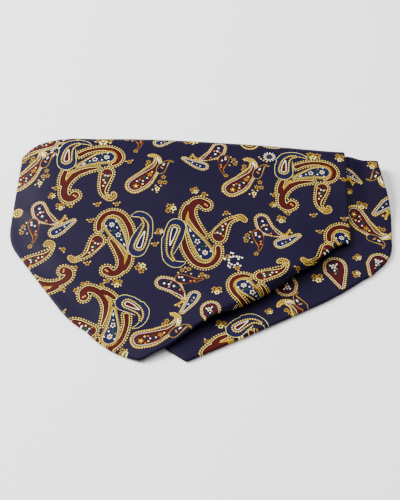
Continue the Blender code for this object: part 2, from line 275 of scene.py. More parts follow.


# %% [markdown]
# Interlined silk doesn't crumple. It keeps a few broad, soft creases where it was handled: at a
# shoulder, below the fold, towards the point. A cloth simulation would put them anywhere, so they
# are listed one by one here. Each one is a ridge, or a trough where its height is negative, that
# runs from one place to another and has its own width at either end, so that no two are alike.

# %% The creases
# name, across, along, end across, end along, half width, end half width, height
FRONT_CREASES = (
    ("left shoulder", -82.0, 18.0, -38.0, 2.0, 5.0, 9.0, 0.7),
    ("under the fold", -58.0, 44.0, 6.0, 30.0, 6.0, 11.0, 0.8),
    ("trough in the middle", -22.0, 14.0, 34.0, -8.0, 7.0, 5.0, -0.2),
    ("middle", -48.0, -12.0, 16.0, 8.0, 8.0, 5.0, 0.6),
    ("to the point", -46.0, -30.0, -30.0, -56.0, 4.5, 7.5, 0.65),
    ("along the hem", 12.0, -16.0, 58.0, 16.0, 5.5, 3.5, 0.6),
    ("right of the fold", 44.0, 34.0, 62.0, 12.0, 7.0, 4.0, 0.55),
    ("pulled corner", -78.0, 40.0, -66.0, 22.0, 3.5, 5.5, -0.2),
)
UNDER_CREASES = (
    ("right corner", 76.0, 36.0, 85.0, 6.0, 3.5, 5.0, 0.4),
    ("right edge", 60.0, -14.0, 84.0, 0.0, 5.0, 3.5, 0.35),
    ("low", 4.0, -56.0, 36.0, -36.0, 4.0, 6.0, 0.35),
)
CREASE_ENDS = 0.25  # of a crease's height that is left at its ends
CREASE_LEAN = 1.3  # above 1 puts its highest place past the middle
CREASE_CLEAR = 3.0  # outside the upper blade's hem before the lower one's creases begin
print(len(FRONT_CREASES), "creases in the upper blade,", len(UNDER_CREASES), "in the lower")


# %% [markdown]
# The stack's heights are functions of a place on the table. The packet is thick at the far fold
# and thins towards the points, the upper blade sinks a little where nothing lies under it, and
# it rises where its lower right hem curls. Functions are easier to change than a sculpted mesh,
# and the CAD solids come from the same ones.

# %% Heights of the stack
def crest_along(across):
    return along_table(across, FOLD, FOLD_COLUMNS, "across", "crest_along")


def fold_radius(across):
    return along_table(across, FOLD, FOLD_COLUMNS, "across", "radius")


def beyond_front(across):
    """0 where the upper blade covers the lower one's roll, 1 clear of it to the right."""
    return ease((across - FRONT_SHOULDER[0] - DROP_START) / DROP_REACH)


def core_top(across, along):
    """The height on which the lower blade lies."""
    crest = crest_along(across)
    at_crest = 2 * fold_radius(across) - WALL - PLY - PLY * beyond_front(across)
    thin_from = LAY_DEPTH + LAY_SLOPE * (np.hypot(across - LAY_MIDDLE, LAY_ROUND) - LAY_ROUND)
    return at_crest * (1 - ease((crest - along) / (crest - thin_from)))


def hem_frame(across, along):
    """A place by its share along the upper blade's lower right hem, and its distance outside it."""
    length = math.dist(FRONT_POINT, FRONT_SHOULDER)
    run_x = (FRONT_SHOULDER[0] - FRONT_POINT[0]) / length
    run_y = (FRONT_SHOULDER[1] - FRONT_POINT[1]) / length
    x, y = across - FRONT_POINT[0], along - FRONT_POINT[1]
    return (x * run_x + y * run_y) / length, x * run_y - y * run_x, (run_x, run_y)


def hem_roll(share):
    """The curled hem's start, radius and turn at a share of its length."""
    lift = along_table(share, HEM, HEM_COLUMNS, "share", "lift")
    outward = along_table(share, HEM, HEM_COLUMNS, "share", "outward")
    natural = (lift + WALL) / 2
    turn = HEM_CURL * ease((natural - HEM_CURL_LEAST) / HEM_CURL_GROWS)
    radius = np.maximum(natural, HEM_CURL_LEAST)
    start = outward - radius * np.sin(np.minimum(turn, math.pi / 2))
    return start, radius, turn, lift


def front_top(across, along, under_cut):
    """The height of the upper blade's outer face."""
    beyond_under = distance_outside(np.column_stack([across, along]), under_cut) - DROP_START
    sink = PLY * ease(beyond_under / SINK_REACH)
    share, outside, _ = hem_frame(across, along)
    start, _, _, lift = hem_roll(share)
    swell = lift * np.exp(-((np.minimum(outside - start, 0.0) / HEM_SWELL) ** 2))
    return core_top(across, along) + WALL + PLY - sink + swell


def under_top(across, along):
    """The height of the lower blade's outer face."""
    return core_top(across, along) + WALL


def front_radius(across, under_cut):
    """The upper blade's roll stands on the ground, so it is half as thick as the stack is high."""
    return front_top(across, crest_along(across), under_cut) / 2


def under_radius(across):
    return fold_radius(across) - PLY


print("the far roll is", round(2 * float(fold_radius(0.0)), 1), "mm high in its middle")


# %% [markdown]
# Two bends lay the cut cloth on those heights: the hem rolls down first, then the whole blade
# goes over the fold at its crest. Cloth keeps its length, so both turn it round a radius and
# carry every point by the length that it has in the flat. Only the creases stretch it, and they
# are too low for that to show in the print.

# %% Laying a flat place on the stack
def creased(across, along, creases):
    """The height that soft ridges and troughs add: each runs from one place to another."""
    height = np.zeros(np.broadcast(across, along).shape)
    for _, x, y, end_x, end_y, wide, end_wide, high in creases:
        run_x, run_y = end_x - x, end_y - y
        share = ((across - x) * run_x + (along - y) * run_y) / (run_x**2 + run_y**2)
        share = np.clip(share, 0.0, 1.0)
        away = np.hypot(across - x - share * run_x, along - y - share * run_y)
        width = wide + (end_wide - wide) * share
        # Each one swells and dies away along its length, off the middle, so none looks ruled
        swell = CREASE_ENDS + (1 - CREASE_ENDS) * np.sin(math.pi * share**CREASE_LEAN)
        height = height + high * swell * np.exp(-((away / width) ** 2))
    return height


def over_the_fold(across, along, up, top, radius):
    """Lays flat cloth on the stack: down its slope, and round the roll beyond the crest."""
    crest = crest_along(across)
    past = np.maximum(along - crest, 0.0)
    angle = past / radius
    height = top(across, np.minimum(along, crest))
    y = np.where(past > 0, crest + (radius + up) * np.sin(angle), along)
    z = height + np.where(past > 0, (radius + up) * np.cos(angle) - radius, up)
    return np.column_stack([across, y, z])


def lay_front(flat, up, under_cut):
    """The upper blade's place: its hem curls first, then the whole blade goes over the fold."""
    across, along = flat[:, 0], flat[:, 1]
    share, outside, (run_x, run_y) = hem_frame(across, along)
    start, radius, _, _ = hem_roll(share)
    turn = np.maximum(outside - start, 0.0) / radius
    moved = np.where(turn > 0, start + (radius + up) * np.sin(turn) - outside, 0.0)
    sunk = np.where(turn > 0, (radius + up) * np.cos(turn) - radius, up)
    across = across + moved * run_y
    along = along - moved * run_x

    def top(x, y):
        return front_top(x, y, under_cut) + creased(x, y, FRONT_CREASES)

    return over_the_fold(across, along, sunk, top, front_radius(across, under_cut))


def lay_under(flat, up):
    across, along = flat[:, 0], flat[:, 1]

    def top(x, y):
        _, outside, _ = hem_frame(x, y)
        clear = ease((outside - CREASE_CLEAR) / CREASE_CLEAR)
        return under_top(x, y) + clear * creased(x, y, UNDER_CREASES)

    return over_the_fold(across, along, up, top, under_radius(across))


laid = lay_under(np.array([(20.0, 0.0)]), np.zeros(1))[0]
print("a place in the middle of the lower blade lies", round(laid[2], 2), "mm up")


# %% [markdown]
# A blade's cut edge is one closed outline in the flat: down the left side to the point, up the
# hem with the extra length that its curl takes up, and round the fold to the end that lies
# hidden beneath. The edge is drawn finely here, because the silk's turned edge shows.

# %% The cut edges
def round_the_fold(edge, radius, step):
    """Closes a blade's cut edge from its right side to its left, round the fold and under it."""
    left, right = edge[0], edge[-1]
    across = np.linspace(right[0], left[0], round((right[0] - left[0]) / step))
    end = np.column_stack([across, crest_along(across) + radius(across) * ROLL_ANGLE])
    up = bowed(right, end[0], 0.0, step)[1:]
    down = bowed(end[-1], left, 0.0, step)[1:]
    return np.vstack([edge, up, end, down])


def front_outline(under_cut, step):
    left = rounded(FRONT_LEFT, False, step)
    count = round(math.dist(FRONT_POINT, FRONT_SHOULDER) / step)
    share = np.arange(1, count + 1) / count
    start, radius, turn, _ = hem_roll(share)
    edge = start + radius * turn
    line = np.array(FRONT_POINT) + share[:, None] * (np.array(FRONT_SHOULDER) - FRONT_POINT)
    _, _, (run_x, run_y) = hem_frame(0.0, 0.0)
    hem = line + edge[:, None] * np.array([run_y, -run_x])
    return round_the_fold(np.vstack([left, hem]), lambda a: front_radius(a, under_cut), step)


def under_outline(step):
    return round_the_fold(rounded(UNDER_EDGE, False, step), under_radius, step)


HEIGHT_STEP = 3.2  # the outline that the heights read, as coarse as the solid's own
EDGE_STEP = 1.1
under_coarse = under_outline(HEIGHT_STEP)
front_cut = front_outline(under_coarse, EDGE_STEP)
under_cut = under_outline(EDGE_STEP)
print("cut edges:", len(front_cut), "and", len(under_cut), "points")


# %% [markdown]
# Silk foulard is dyed in the piece and printed on one side. Each ink is its own screen, so
# each ink is its own material here, with one flat colour: that keeps every printed edge as
# crisp as the mesh is. The colours are given as sRGB hex, as a colour picker shows them, and one
# function turns them to the linear values that the renderer adds up. They are darker than they
# look in the end, because the studio light is strong and the view softens the highlights.

# %% Inks
INKS = {
    "navy_ground": "110b22",  # the dyed cloth: nearly black, with a violet cast
    "burgundy": "370806",  # the arches, legs and drops
    "gold": "8f6e14",  # beads and streaks: a mustard, since a printed gold has no metal in it
    "pale_gold": "e8d768",  # the hearts of the beads, and the keylines
    "royal_blue": "0e0f30",  # the fields and bulbs, only just bluer than the ground
    "green": "08301f",  # small leaves
    "cream": "ece4cc",  # petals and fine lines, the brightest ink
    "orange": "a2601e",  # the hearts of flowers
}


def linear(hex_colour):
    """An sRGB hex colour as the renderer's linear values."""
    parts = [int(hex_colour[i : i + 2], 16) / 255 for i in (0, 2, 4)]
    return [c / 12.92 if c <= 0.04045 else ((c + 0.055) / 1.055) ** 2.4 for c in parts]


def add_node(tree, kind, settings=(), inputs=(), links=()):
    """Adds a node with its settings and values, and links (input, source node, output) to it."""
    node = tree.nodes.new(kind)
    for name, value in dict(settings).items():
        setattr(node, name, value)
    for name, value in dict(inputs).items():
        node.inputs[name].default_value = value
    for name, source, output in links:
        tree.links.new(source.outputs[output], node.inputs[name])
    return node


print(len(INKS), "inks")


# %% [markdown]
# The cloth is a silk twill: its diagonal ribs are too fine to count from here, but they spread
# the shine, so a curve glows softly where a plastic sheet would flash. The rib is a wave
# across the cloth's own flat coordinates, which the UV map carries, and it only nudges the
# normal. Fine uneven threads are a second, slower noise in the roughness. A dark dyed cloth shows
# every reflection as a grey veil, so the specular level is far below a plain surface's.

# %% Printed silk twill
SILK_IOR = 1.54  # silk fibre
SILK_SPECULAR = 0.06  # the ribs break up all but this much of the shine
SILK_SHEEN = 0.005  # a breath of bloom at grazing angles: the filaments have no nap
SHEEN_ROUGHNESS = 0.4
TWILL_PITCH = 0.45  # mm; the real rib is about 0.25, drawn coarser so that a close view shows it
TWILL_TURN = math.radians(58)  # the ribs run steeply across the cloth
TWILL_RELIEF = 0.02  # mm
SLUB = 9.0  # mm from one dull patch of uneven thread to the next
GLOSSY_THREAD, DULL_THREAD = 0.46, 0.62  # roughness


def silk_twill(name, hex_colour):
    material = bpy.data.materials.new(name)
    material.use_nodes = True
    tree = material.node_tree
    shader = tree.nodes["Principled BSDF"]
    shader.inputs["Base Color"].default_value = (*linear(hex_colour), 1.0)
    shader.inputs["IOR"].default_value = SILK_IOR
    shader.inputs["Specular IOR Level"].default_value = SILK_SPECULAR
    shader.inputs["Sheen Weight"].default_value = SILK_SHEEN
    shader.inputs["Sheen Roughness"].default_value = SHEEN_ROUGHNESS
    flat = add_node(tree, "ShaderNodeUVMap", {"uv_map": "flat_cloth"})
    turned = add_node(
        tree,
        "ShaderNodeMapping",
        inputs={"Rotation": (0, 0, TWILL_TURN)},
        links=[("Vector", flat, "UV")],
    )
    # A wave's band repeats each 2 pi / 20 units at scale 1
    ribs = add_node(
        tree,
        "ShaderNodeTexWave",
        inputs={"Scale": math.pi / 10 / TWILL_PITCH, "Distortion": 0.4, "Detail": 0.0},
        links=[("Vector", turned, "Vector")],
    )
    bump = add_node(
        tree,
        "ShaderNodeBump",
        inputs={"Strength": 0.25, "Distance": TWILL_RELIEF * MM},
        links=[("Height", ribs, "Fac")],
    )
    tree.links.new(bump.outputs["Normal"], shader.inputs["Normal"])
    threads = add_node(
        tree,
        "ShaderNodeTexNoise",
        inputs={"Scale": 1 / SLUB, "Detail": 3.0},
        links=[("Vector", flat, "UV")],
    )
    dullness = add_node(
        tree,
        "ShaderNodeMapRange",
        inputs={
            "From Min": 0.3,
            "From Max": 0.7,
            "To Min": GLOSSY_THREAD,
            "To Max": DULL_THREAD,
        },
        links=[("Value", threads, "Fac")],
    )
    tree.links.new(dullness.outputs["Result"], shader.inputs["Roughness"])
    return material


silk = {ink: silk_twill("silk_twill_" + ink, colour) for ink, colour in INKS.items()}
print("materials:", ", ".join(m.name for m in silk.values()))


# %% [markdown]
# The pattern is a foulard of paisleys. A paisley is a bent drop, and a printer builds it like
# a garden bed: a coloured field, a fine keyline, then a border of beads. So the one shape that
# everything is drawn with is a limb: a smooth spine with a half width at each of its points,
# which can be grown or shrunk all round to give the keyline and the border.

# %% Spines and limbs
SPINE_STEP = 0.6  # mm between the points of a limb's side
CAP_STEP = 1.6  # how many times wider apart the points of its rounded ends are
THINNEST = 0.03  # a half width below this prints nothing
TUCKED = 0.985  # of the half width: a point nearer its spine lies inside the limb, and goes
LEAST_GAP = 0.06


def smooth_spine(rows, step=SPINE_STEP):
    """A smooth curve through rows of (x, y, half width), with points about a step apart."""
    rows = np.array(rows, float)
    chord = np.concatenate([[0], np.cumsum(np.hypot(*np.diff(rows[:, :2], axis=0).T))])
    slopes = np.gradient(rows, chord, axis=0)
    at = np.linspace(0, chord[-1], max(3, round(chord[-1] / step) + 1))
    row = np.clip(np.searchsorted(chord, at) - 1, 0, len(chord) - 2)
    span = (chord[row + 1] - chord[row])[:, None]
    t = ((at - chord[row])[:, None]) / span
    points = (
        rows[row] * (1 + 2 * t) * (1 - t) ** 2
        + slopes[row] * span * t * (1 - t) ** 2
        + rows[row + 1] * t * t * (3 - 2 * t)
        + slopes[row + 1] * span * t * t * (t - 1)
    )
    points[:, 2] = np.maximum(points[:, 2], 0.0)
    return points


def limb(rows, grow=0.0, step=SPINE_STEP):
    """The outline of a tapering limb round its spine, anticlockwise, grown or shrunk all round."""
    spine = smooth_spine(rows, step)
    spine = spine[spine[:, 2] + grow > THINNEST]
    if len(spine) < 3:
        return None
    middle, half = spine[:, :2], spine[:, 2] + grow
    run = np.gradient(middle, axis=0)
    run /= np.hypot(run[:, 0], run[:, 1])[:, None]
    side = np.column_stack([run[:, 1], -run[:, 0]])

    def cap(at, way, across, radius):
        turns = max(2, int(radius * math.pi / (CAP_STEP * step)))
        angles = (np.arange(turns) + 0.5) / turns * math.pi
        return at + radius * (np.cos(angles)[:, None] * across + np.sin(angles)[:, None] * way)

    outline = np.vstack(
        [
            middle + side * half[:, None],
            cap(middle[-1], run[-1], side[-1], half[-1]),
            (middle - side * half[:, None])[::-1],
            cap(middle[0], -run[0], -side[0], half[0]),
        ]
    )
    reach = np.hypot(*(outline[:, None] - middle[None]).transpose(2, 0, 1)) / half
    return thinned(outline[reach.min(axis=1) > TUCKED])


def thinned(outline):
    """An outline without the points that lie almost on the one before."""
    keep = [0]
    for i in range(1, len(outline)):
        if math.dist(outline[i], outline[keep[-1]]) > LEAST_GAP:
            keep.append(i)
    return outline[keep]


print("a limb of three rows has", len(limb([(0, 0, 2), (4, 1, 1), (7, 3, 0.2)])), "points")


# %% [markdown]
# A drawing collects filled shapes and strings of beads. Each one has a layer number, because a
# screen print is built up in layers too: the borders go down first, and the keylines and fields
# over them, so the beads under a field never need trimming.

# %% Drawings
class Drawing:
    """Shapes and strings of beads on flat cloth, each on a numbered layer."""

    def __init__(self):
        self.shapes = []  # layer, ink, outline
        self.strings = []  # layer, path, radius, spacing, ink, heart ink

    def fill(self, layer, ink, outline):
        if outline is not None:
            self.shapes.append((layer, ink, outline))

    def string(self, layer, path, radius, spacing, ink="gold", heart="pale_gold"):
        if path is not None:
            self.strings.append((layer, np.asarray(path, float), radius, spacing, ink, heart))

    def placed(self, at, turn, mirrored=False, about=(0.0, 0.0), size=(1.0, 1.0)):
        """A copy turned about a point, which lands at a place; mirrored left to right first."""
        cos, sin = math.cos(math.radians(turn)), math.sin(math.radians(turn))
        # The size goes along the cloth's own two ways, so it comes after the turn
        turned = np.array([[cos, sin], [-sin, cos]]) * size
        flip = np.array([-1.0 if mirrored else 1.0, 1.0])

        def move(points):
            moved = ((points - about) * flip) @ turned + at
            return moved[::-1] if mirrored else moved

        copy = Drawing()
        copy.shapes = [(layer, ink, move(outline)) for layer, ink, outline in self.shapes]
        copy.strings = [(layer, move(path), *kind) for layer, path, *kind in self.strings]
        return copy

    def add(self, other):
        self.shapes += other.shapes
        self.strings += other.strings


print("an empty drawing has", len(Drawing().shapes), "shapes")


# %% [markdown]
# The small marks of the print are dots, flowers and leaves. A printed dot spreads a little and
# comes out round, but eight sides are enough at this size: there are thousands of them.

# %% Dots, flowers and leaves
DOT_SIDES = 8
DOT_HEART = 0.42  # of a dot's radius
DOT_HEART_SIDES = 5
PETAL_SIDES = 6
FLOWER_HEART = 0.55  # of a flower's reach
FLORET = (0.8, 5, 0.4)  # reach, petals, a petal's radius
LEAF_STEP = 0.5


def disc(x, y, radius, sides):
    angles = (np.arange(sides) + 0.5) / sides * 2 * math.pi
    return np.column_stack([x + radius * np.cos(angles), y + radius * np.sin(angles)])


def dots(drawing, layer, places, radius, ink, heart=None):
    for x, y in places:
        drawing.fill(layer, ink, disc(x, y, radius, DOT_SIDES))
        if heart:
            drawing.fill(layer + 1, heart, disc(x, y, DOT_HEART * radius, DOT_HEART_SIDES))


def flower(drawing, layer, x, y, reach, petals, petal, ink, heart):
    for k in range(petals):
        a = 2 * math.pi * k / petals + 0.3
        at = (x + reach * math.cos(a), y + reach * math.sin(a))
        drawing.fill(layer, ink, disc(*at, petal, PETAL_SIDES))
    drawing.fill(layer + 1, heart, disc(x, y, FLOWER_HEART * reach, PETAL_SIDES))


def florets(drawing, layer, places, ink="gold", heart="burgundy"):
    for x, y in places:
        flower(drawing, layer, x, y, *FLORET, ink, heart)


def leaf(drawing, layer, x, y, length, width, turn, ink):
    a = math.radians(turn)
    rows = [
        (x - length / 2 * math.cos(a), y - length / 2 * math.sin(a), 0.05),
        (x, y, width / 2),
        (x + length / 2 * math.cos(a), y + length / 2 * math.sin(a), 0.05),
    ]
    drawing.fill(layer, ink, limb(rows, 0.0, LEAF_STEP))


print("a dot has", DOT_SIDES, "sides, its heart", DOT_HEART_SIDES)


# %% [markdown]
# Every large figure is edged in the same way, so one helper does it. From the outside in there
# are beads, a line of bare ground that sets them off, a fine pale keyline, and the ink of the
# field. Each is the same limb again, grown by a little less.

# %% A field with its keyline and beads
KEYLINE = 0.2
BARE_LINE = 0.4  # ground left bare between the keyline and the beads
BEAD = 0.46  # radius
BEAD_SPACING = 1.32
BEAD_SEAT = 0.9  # of a bead's radius that lies outside the bare line


def beaded(drawing, rows, layer, ink, key="pale_gold"):
    """A limb with a keyline and beads all round: beads below, the fills above them."""
    drawing.string(layer, limb(rows, KEYLINE + BARE_LINE + BEAD_SEAT * BEAD), BEAD, BEAD_SPACING)
    drawing.fill(layer + 2, "navy_ground", limb(rows, KEYLINE + BARE_LINE))
    drawing.fill(layer + 3, key, limb(rows, KEYLINE))
    drawing.fill(layer + 4, ink, limb(rows))


print("the beads are", round(2 * BEAD, 2), "mm across and", BEAD_SPACING, "mm apart")


# %% [markdown]
# The great paisley comes in two hands: one stands upright and one slants. Both are made of the
# same limbs: an arch over a blue field, a leg that ends in a curl, a small red paisley hanging
# from the arch, and a blue one in front. Only the spines differ, so only they are in the tables.
# Every row is (across, along, half width) in millimetres, as on squared paper.

# %% The great paisley's spines
UPRIGHT = {
    "arch": [
        (45.2, 42.2, 1.2), (49.0, 44.0, 1.0), (54.0, 45.0, 1.0), (59.2, 44.3, 1.1),
        (62.6, 41.6, 1.2), (63.2, 38.4, 1.2), (61.6, 35.8, 1.0), (59.8, 34.8, 0.7),
    ],
    "leg": [
        (53.2, 33.8, 0.5), (48.5, 33.3, 0.95), (44.5, 32.1, 1.2), (41.2, 29.9, 1.5),
        (38.9, 26.8, 1.5), (37.9, 23.2, 1.6), (38.5, 20.2, 1.7), (40.5, 18.9, 1.6),
        (42.5, 20.4, 2.1),
    ],
    "stream": [(38.7, 33.4, 1.0), (37.6, 30.4, 1.2), (37.2, 27.0, 1.2)],
    "streak": [(42.2, 33.6, 0.8), (40.6, 31.6, 0.6), (38.8, 28.4, 0.1)],
    "small": [
        (57.2, 30.4, 2.5), (56.3, 27.2, 2.1), (55.2, 23.6, 1.35), (55.2, 20.6, 0.7),
        (56.4, 18.4, 0.25),
    ],
    "tail": [(56.2, 18.4, 0.35), (57.8, 17.3, 0.5), (59.9, 18.4, 0.35), (59.6, 19.6, 0.2)],
    "field": [
        (58.0, 39.6, 2.9), (54.5, 39.4, 2.6), (50.5, 38.2, 1.7), (46.8, 36.6, 0.8),
        (44.3, 35.6, 0.15),
    ],
    "bulb": [(39.4, 38.7, 4.2), (39.4, 42.0, 4.1), (40.0, 45.0, 3.5), (41.4, 47.6, 2.2)],
    "hook": [
        (38.0, 46.0, 2.0), (39.8, 48.8, 1.7), (42.8, 50.0, 1.4), (46.4, 50.0, 1.1),
        (49.2, 48.8, 0.7), (50.6, 47.6, 0.2),
    ],
    "drop": [(39.3, 40.0, 1.1), (39.6, 42.4, 0.9), (40.3, 46.0, 0.12)],
    "ring": [
        (39.3, 40.0, 2.0), (39.7, 42.6, 1.8), (41.0, 46.4, 1.1), (43.2, 48.4, 0.5),
        (45.4, 48.9, 0.15),
    ],
    "spurs": [(40.6, 15.4), (34.4, 25.4), (52.4, 14.6), (67.4, 35.8)],
    "heart": "burgundy",
}
SLANTING = {
    "arch": [
        (-46.2, 4.8, 1.15), (-46.0, 8.4, 1.15), (-43.8, 12.0, 1.15), (-40.2, 13.5, 1.2),
        (-36.4, 12.2, 1.25), (-33.4, 8.2, 1.25), (-31.6, 3.5, 1.25), (-31.2, -1.0, 0.9),
    ],
    "leg": [
        (-40.6, -0.9, 0.7), (-38.6, -3.9, 1.0), (-36.8, -7.2, 1.3), (-35.4, -10.8, 1.5),
        (-35.2, -14.2, 1.7), (-36.8, -17.0, 1.7), (-39.4, -18.0, 1.5), (-42.0, -16.2, 2.1),
    ],
    "stream": [(-31.8, -9.2, 1.0), (-32.4, -12.4, 1.3), (-34.2, -15.4, 1.5)],
    "streak": [(-33.2, -6.6, 0.5), (-33.4, -9.6, 0.75), (-34.0, -13.4, 0.1)],
    "small": [
        (-46.7, -1.0, 2.8), (-47.9, -3.8, 2.15), (-50.1, -6.6, 1.15), (-53.0, -8.8, 0.5),
        (-55.4, -9.6, 0.2),
    ],
    "tail": [(-54.8, -9.5, 0.35), (-57.2, -10.0, 0.5), (-58.8, -8.6, 0.3)],
    "field": [
        (-40.6, 7.6, 3.0), (-38.6, 4.0, 2.75), (-36.3, 0.2, 2.0), (-34.3, -3.6, 1.0),
        (-33.0, -7.0, 0.15),
    ],
    "bulb": [(-28.4, -5.6, 4.1), (-27.2, -1.8, 4.3), (-26.0, 2.0, 3.7), (-25.2, 5.4, 2.4)],
    "hook": [
        (-23.8, 0.5, 2.0), (-23.3, 5.5, 1.7), (-24.0, 9.6, 1.8), (-26.4, 12.0, 1.6),
        (-29.2, 12.4, 1.2), (-31.2, 11.6, 0.4),
    ],
    "drop": [(-27.6, -4.4, 1.1), (-26.8, -1.8, 0.95), (-25.3, 3.2, 0.12)],
    "ring": [
        (-27.6, -4.4, 2.0), (-26.6, -1.6, 1.9), (-25.2, 3.6, 1.2), (-24.8, 7.4, 0.6),
        (-26.4, 10.2, 0.2),
    ],
    "spurs": [(-50.2, 9.4), (-38.4, 18.0), (-41.4, -21.6), (-50.8, -12.2), (-20.4, -3.8)],
    "heart": "navy_ground",
}
limb_names = [name for name in UPRIGHT if name not in ("spurs", "heart")]
print("the limbs of a great paisley:", ", ".join(limb_names))


# %% [markdown]
# A paisley's field is filled like a flower bed. The fillings' places are shares of a limb's
# length and half width, so they follow the limb wherever its spine goes.

# %% What fills the great paisley
FIELD_EDGE = 1.25  # mm outside the field: gold
FIELD_BED = 1.05  # burgundy, for the rope of beads to lie on
ROPE = (0.62, 0.36, 0.96)  # mm outside the field, a bead's radius, and their spacing
FIELD_LINE = 0.15
RING_EDGE = 0.95
RING_ROPE = (0.3, 0.5, 1.1)
# share of the length, petals, heart
FIELD_FLOWERS = ((0.06, 6, "orange"), (0.42, 5, "burgundy"))
# share of the length, side as a share of the half width, ink
FIELD_DOTS = (
    (0.22, 0.5, "cream"), (0.0, -0.85, "cream"), (0.0, 0.85, "cream"), (0.62, 0.0, "cream"),
    (0.2, -0.7, "gold"), (0.34, 0.75, "gold"), (0.54, -0.5, "burgundy"), (0.26, 0.0, "burgundy"),
)
SMALL_DOTS = (
    (0.1, -0.2, "cream"), (0.12, 0.35, "cream"), (0.3, -0.35, "cream"), (0.4, 0.2, "cream"),
    (0.55, 0.0, "cream"), (0.06, 0.7, "orange"), (0.08, -0.7, "orange"), (0.32, 0.5, "green"),
)
# share of the length, side, length and width of the leaf, ink
FIELD_LEAVES = (
    (0.24, -0.2, 2.0, 1.2, "green"), (0.58, 0.3, 2.2, 1.1, "green"), (0.8, 0.0, 1.9, 0.6, "cream"),
)
SMALL_LEAVES = ((0.0, 0.1, 2.2, 1.2, "royal_blue"), (0.2, 0.0, 2.4, 1.5, "green"))
SMALL_LEAF_TURN = 20


def along(rows, share, side=0.0):
    """A place at a share of a limb's length, and to its left by a share of its half width."""
    spine = smooth_spine(rows)
    i = min(len(spine) - 2, int(share * (len(spine) - 1)))
    run = spine[i + 1, :2] - spine[i, :2]
    run /= math.hypot(*run)
    at = spine[i, :2] + np.array([-run[1], run[0]]) * side * spine[i, 2]
    return at[0], at[1], math.degrees(math.atan2(run[1], run[0]))


print("halfway along the upright field:", *(round(v, 1) for v in along(UPRIGHT["field"], 0.5)))


# %% [markdown]
# The limbs go down in the order of the printer's screens: the burgundy arch and legs first, then
# the field with its gold edge and a rope of tiny beads, then its flowers and leaves, and the
# blue bulb and hook over the arch.

# %% The great paisley
def great_paisley(limbs):
    d = Drawing()
    for name in ("arch", "leg", "stream"):
        beaded(d, limbs[name], 0, "burgundy")
    beaded(d, limbs["small"], 1, "burgundy")
    d.string(1, limb(limbs["tail"], 0.75), 0.45, 0.95)
    d.fill(5, "gold", limb(limbs["tail"]))
    d.fill(5, "gold", limb(limbs["streak"]))
    field = limbs["field"]
    d.fill(5, "gold", limb(field, FIELD_EDGE))
    d.fill(6, "burgundy", limb(field, FIELD_BED))
    d.string(7, limb(field, ROPE[0]), *ROPE[1:])
    d.fill(9, "pale_gold", limb(field, FIELD_LINE))
    d.fill(10, "royal_blue", limb(field))
    for share, petals, heart in FIELD_FLOWERS:
        x, y, _ = along(field, share)
        dots(d, 11, [(x, y)], 1.35, "navy_ground")
        flower(d, 12, x, y, 0.9, petals, 0.34, "cream", heart)
    for share, side, ink in FIELD_DOTS:
        x, y, _ = along(field, share, side)
        dots(d, 11, [(x, y)], 0.37, ink)
    for share, side, long, wide, ink in FIELD_LEAVES:
        x, y, turn = along(field, share, side)
        leaf(d, 11, x, y, long, wide, turn, ink)
    small = limbs["small"]
    for share, side, long, wide, ink in SMALL_LEAVES:
        x, y, turn = along(small, share, side)
        leaf(d, 11, x, y, long, wide, turn + SMALL_LEAF_TURN, ink)
    for share, side, ink in SMALL_DOTS:
        x, y, _ = along(small, share, side)
        dots(d, 11, [(x, y)], 0.38, ink)
    x, y, _ = limbs["leg"][-1]
    dots(d, 11, [(x - 0.4, y + 0.3), (x + 0.4, y - 0.4)], 0.48, "orange", "pale_gold")
    for layer, ink, grow in ((12, "pale_gold", 0.16), (13, "royal_blue", 0.0)):
        d.fill(layer, ink, limb(limbs["bulb"], grow))
        d.fill(layer, ink, limb(limbs["hook"], grow))
    d.fill(14, "navy_ground", limb(limbs["ring"], RING_EDGE))
    d.string(16, limb(limbs["ring"], RING_ROPE[0]), *RING_ROPE[1:])
    d.fill(19, "cream", limb(limbs["drop"], 0.2))
    d.fill(20, limbs["heart"], limb(limbs["drop"], -0.1))
    for x, y in limbs["spurs"]:
        florets(d, 0, [(x, y)])
        dots(d, 0, [(x + 1.4, y + 0.9), (x - 1.5, y + 0.5)], 0.45, "gold", "cream")
    return d


# A figure is drawn about its field's round end, and turned about it when it is laid out
UPRIGHT_ANCHOR = UPRIGHT["field"][0][:2]
SLANTING_ANCHOR = SLANTING["field"][0][:2]
print("a great paisley has", len(great_paisley(UPRIGHT).shapes), "filled shapes")


# %% [markdown]
# Two smaller figures fill the rows between the great ones. The first is a fat paisley with a
# hooked crest and a small drop beside it. Its body has a cream keyline with a rope of tiny gold
# beads outside, so it looks softer than the great ones. The spray of florets by its drop is left
# out where a hem or another figure is close, so that is a choice here.

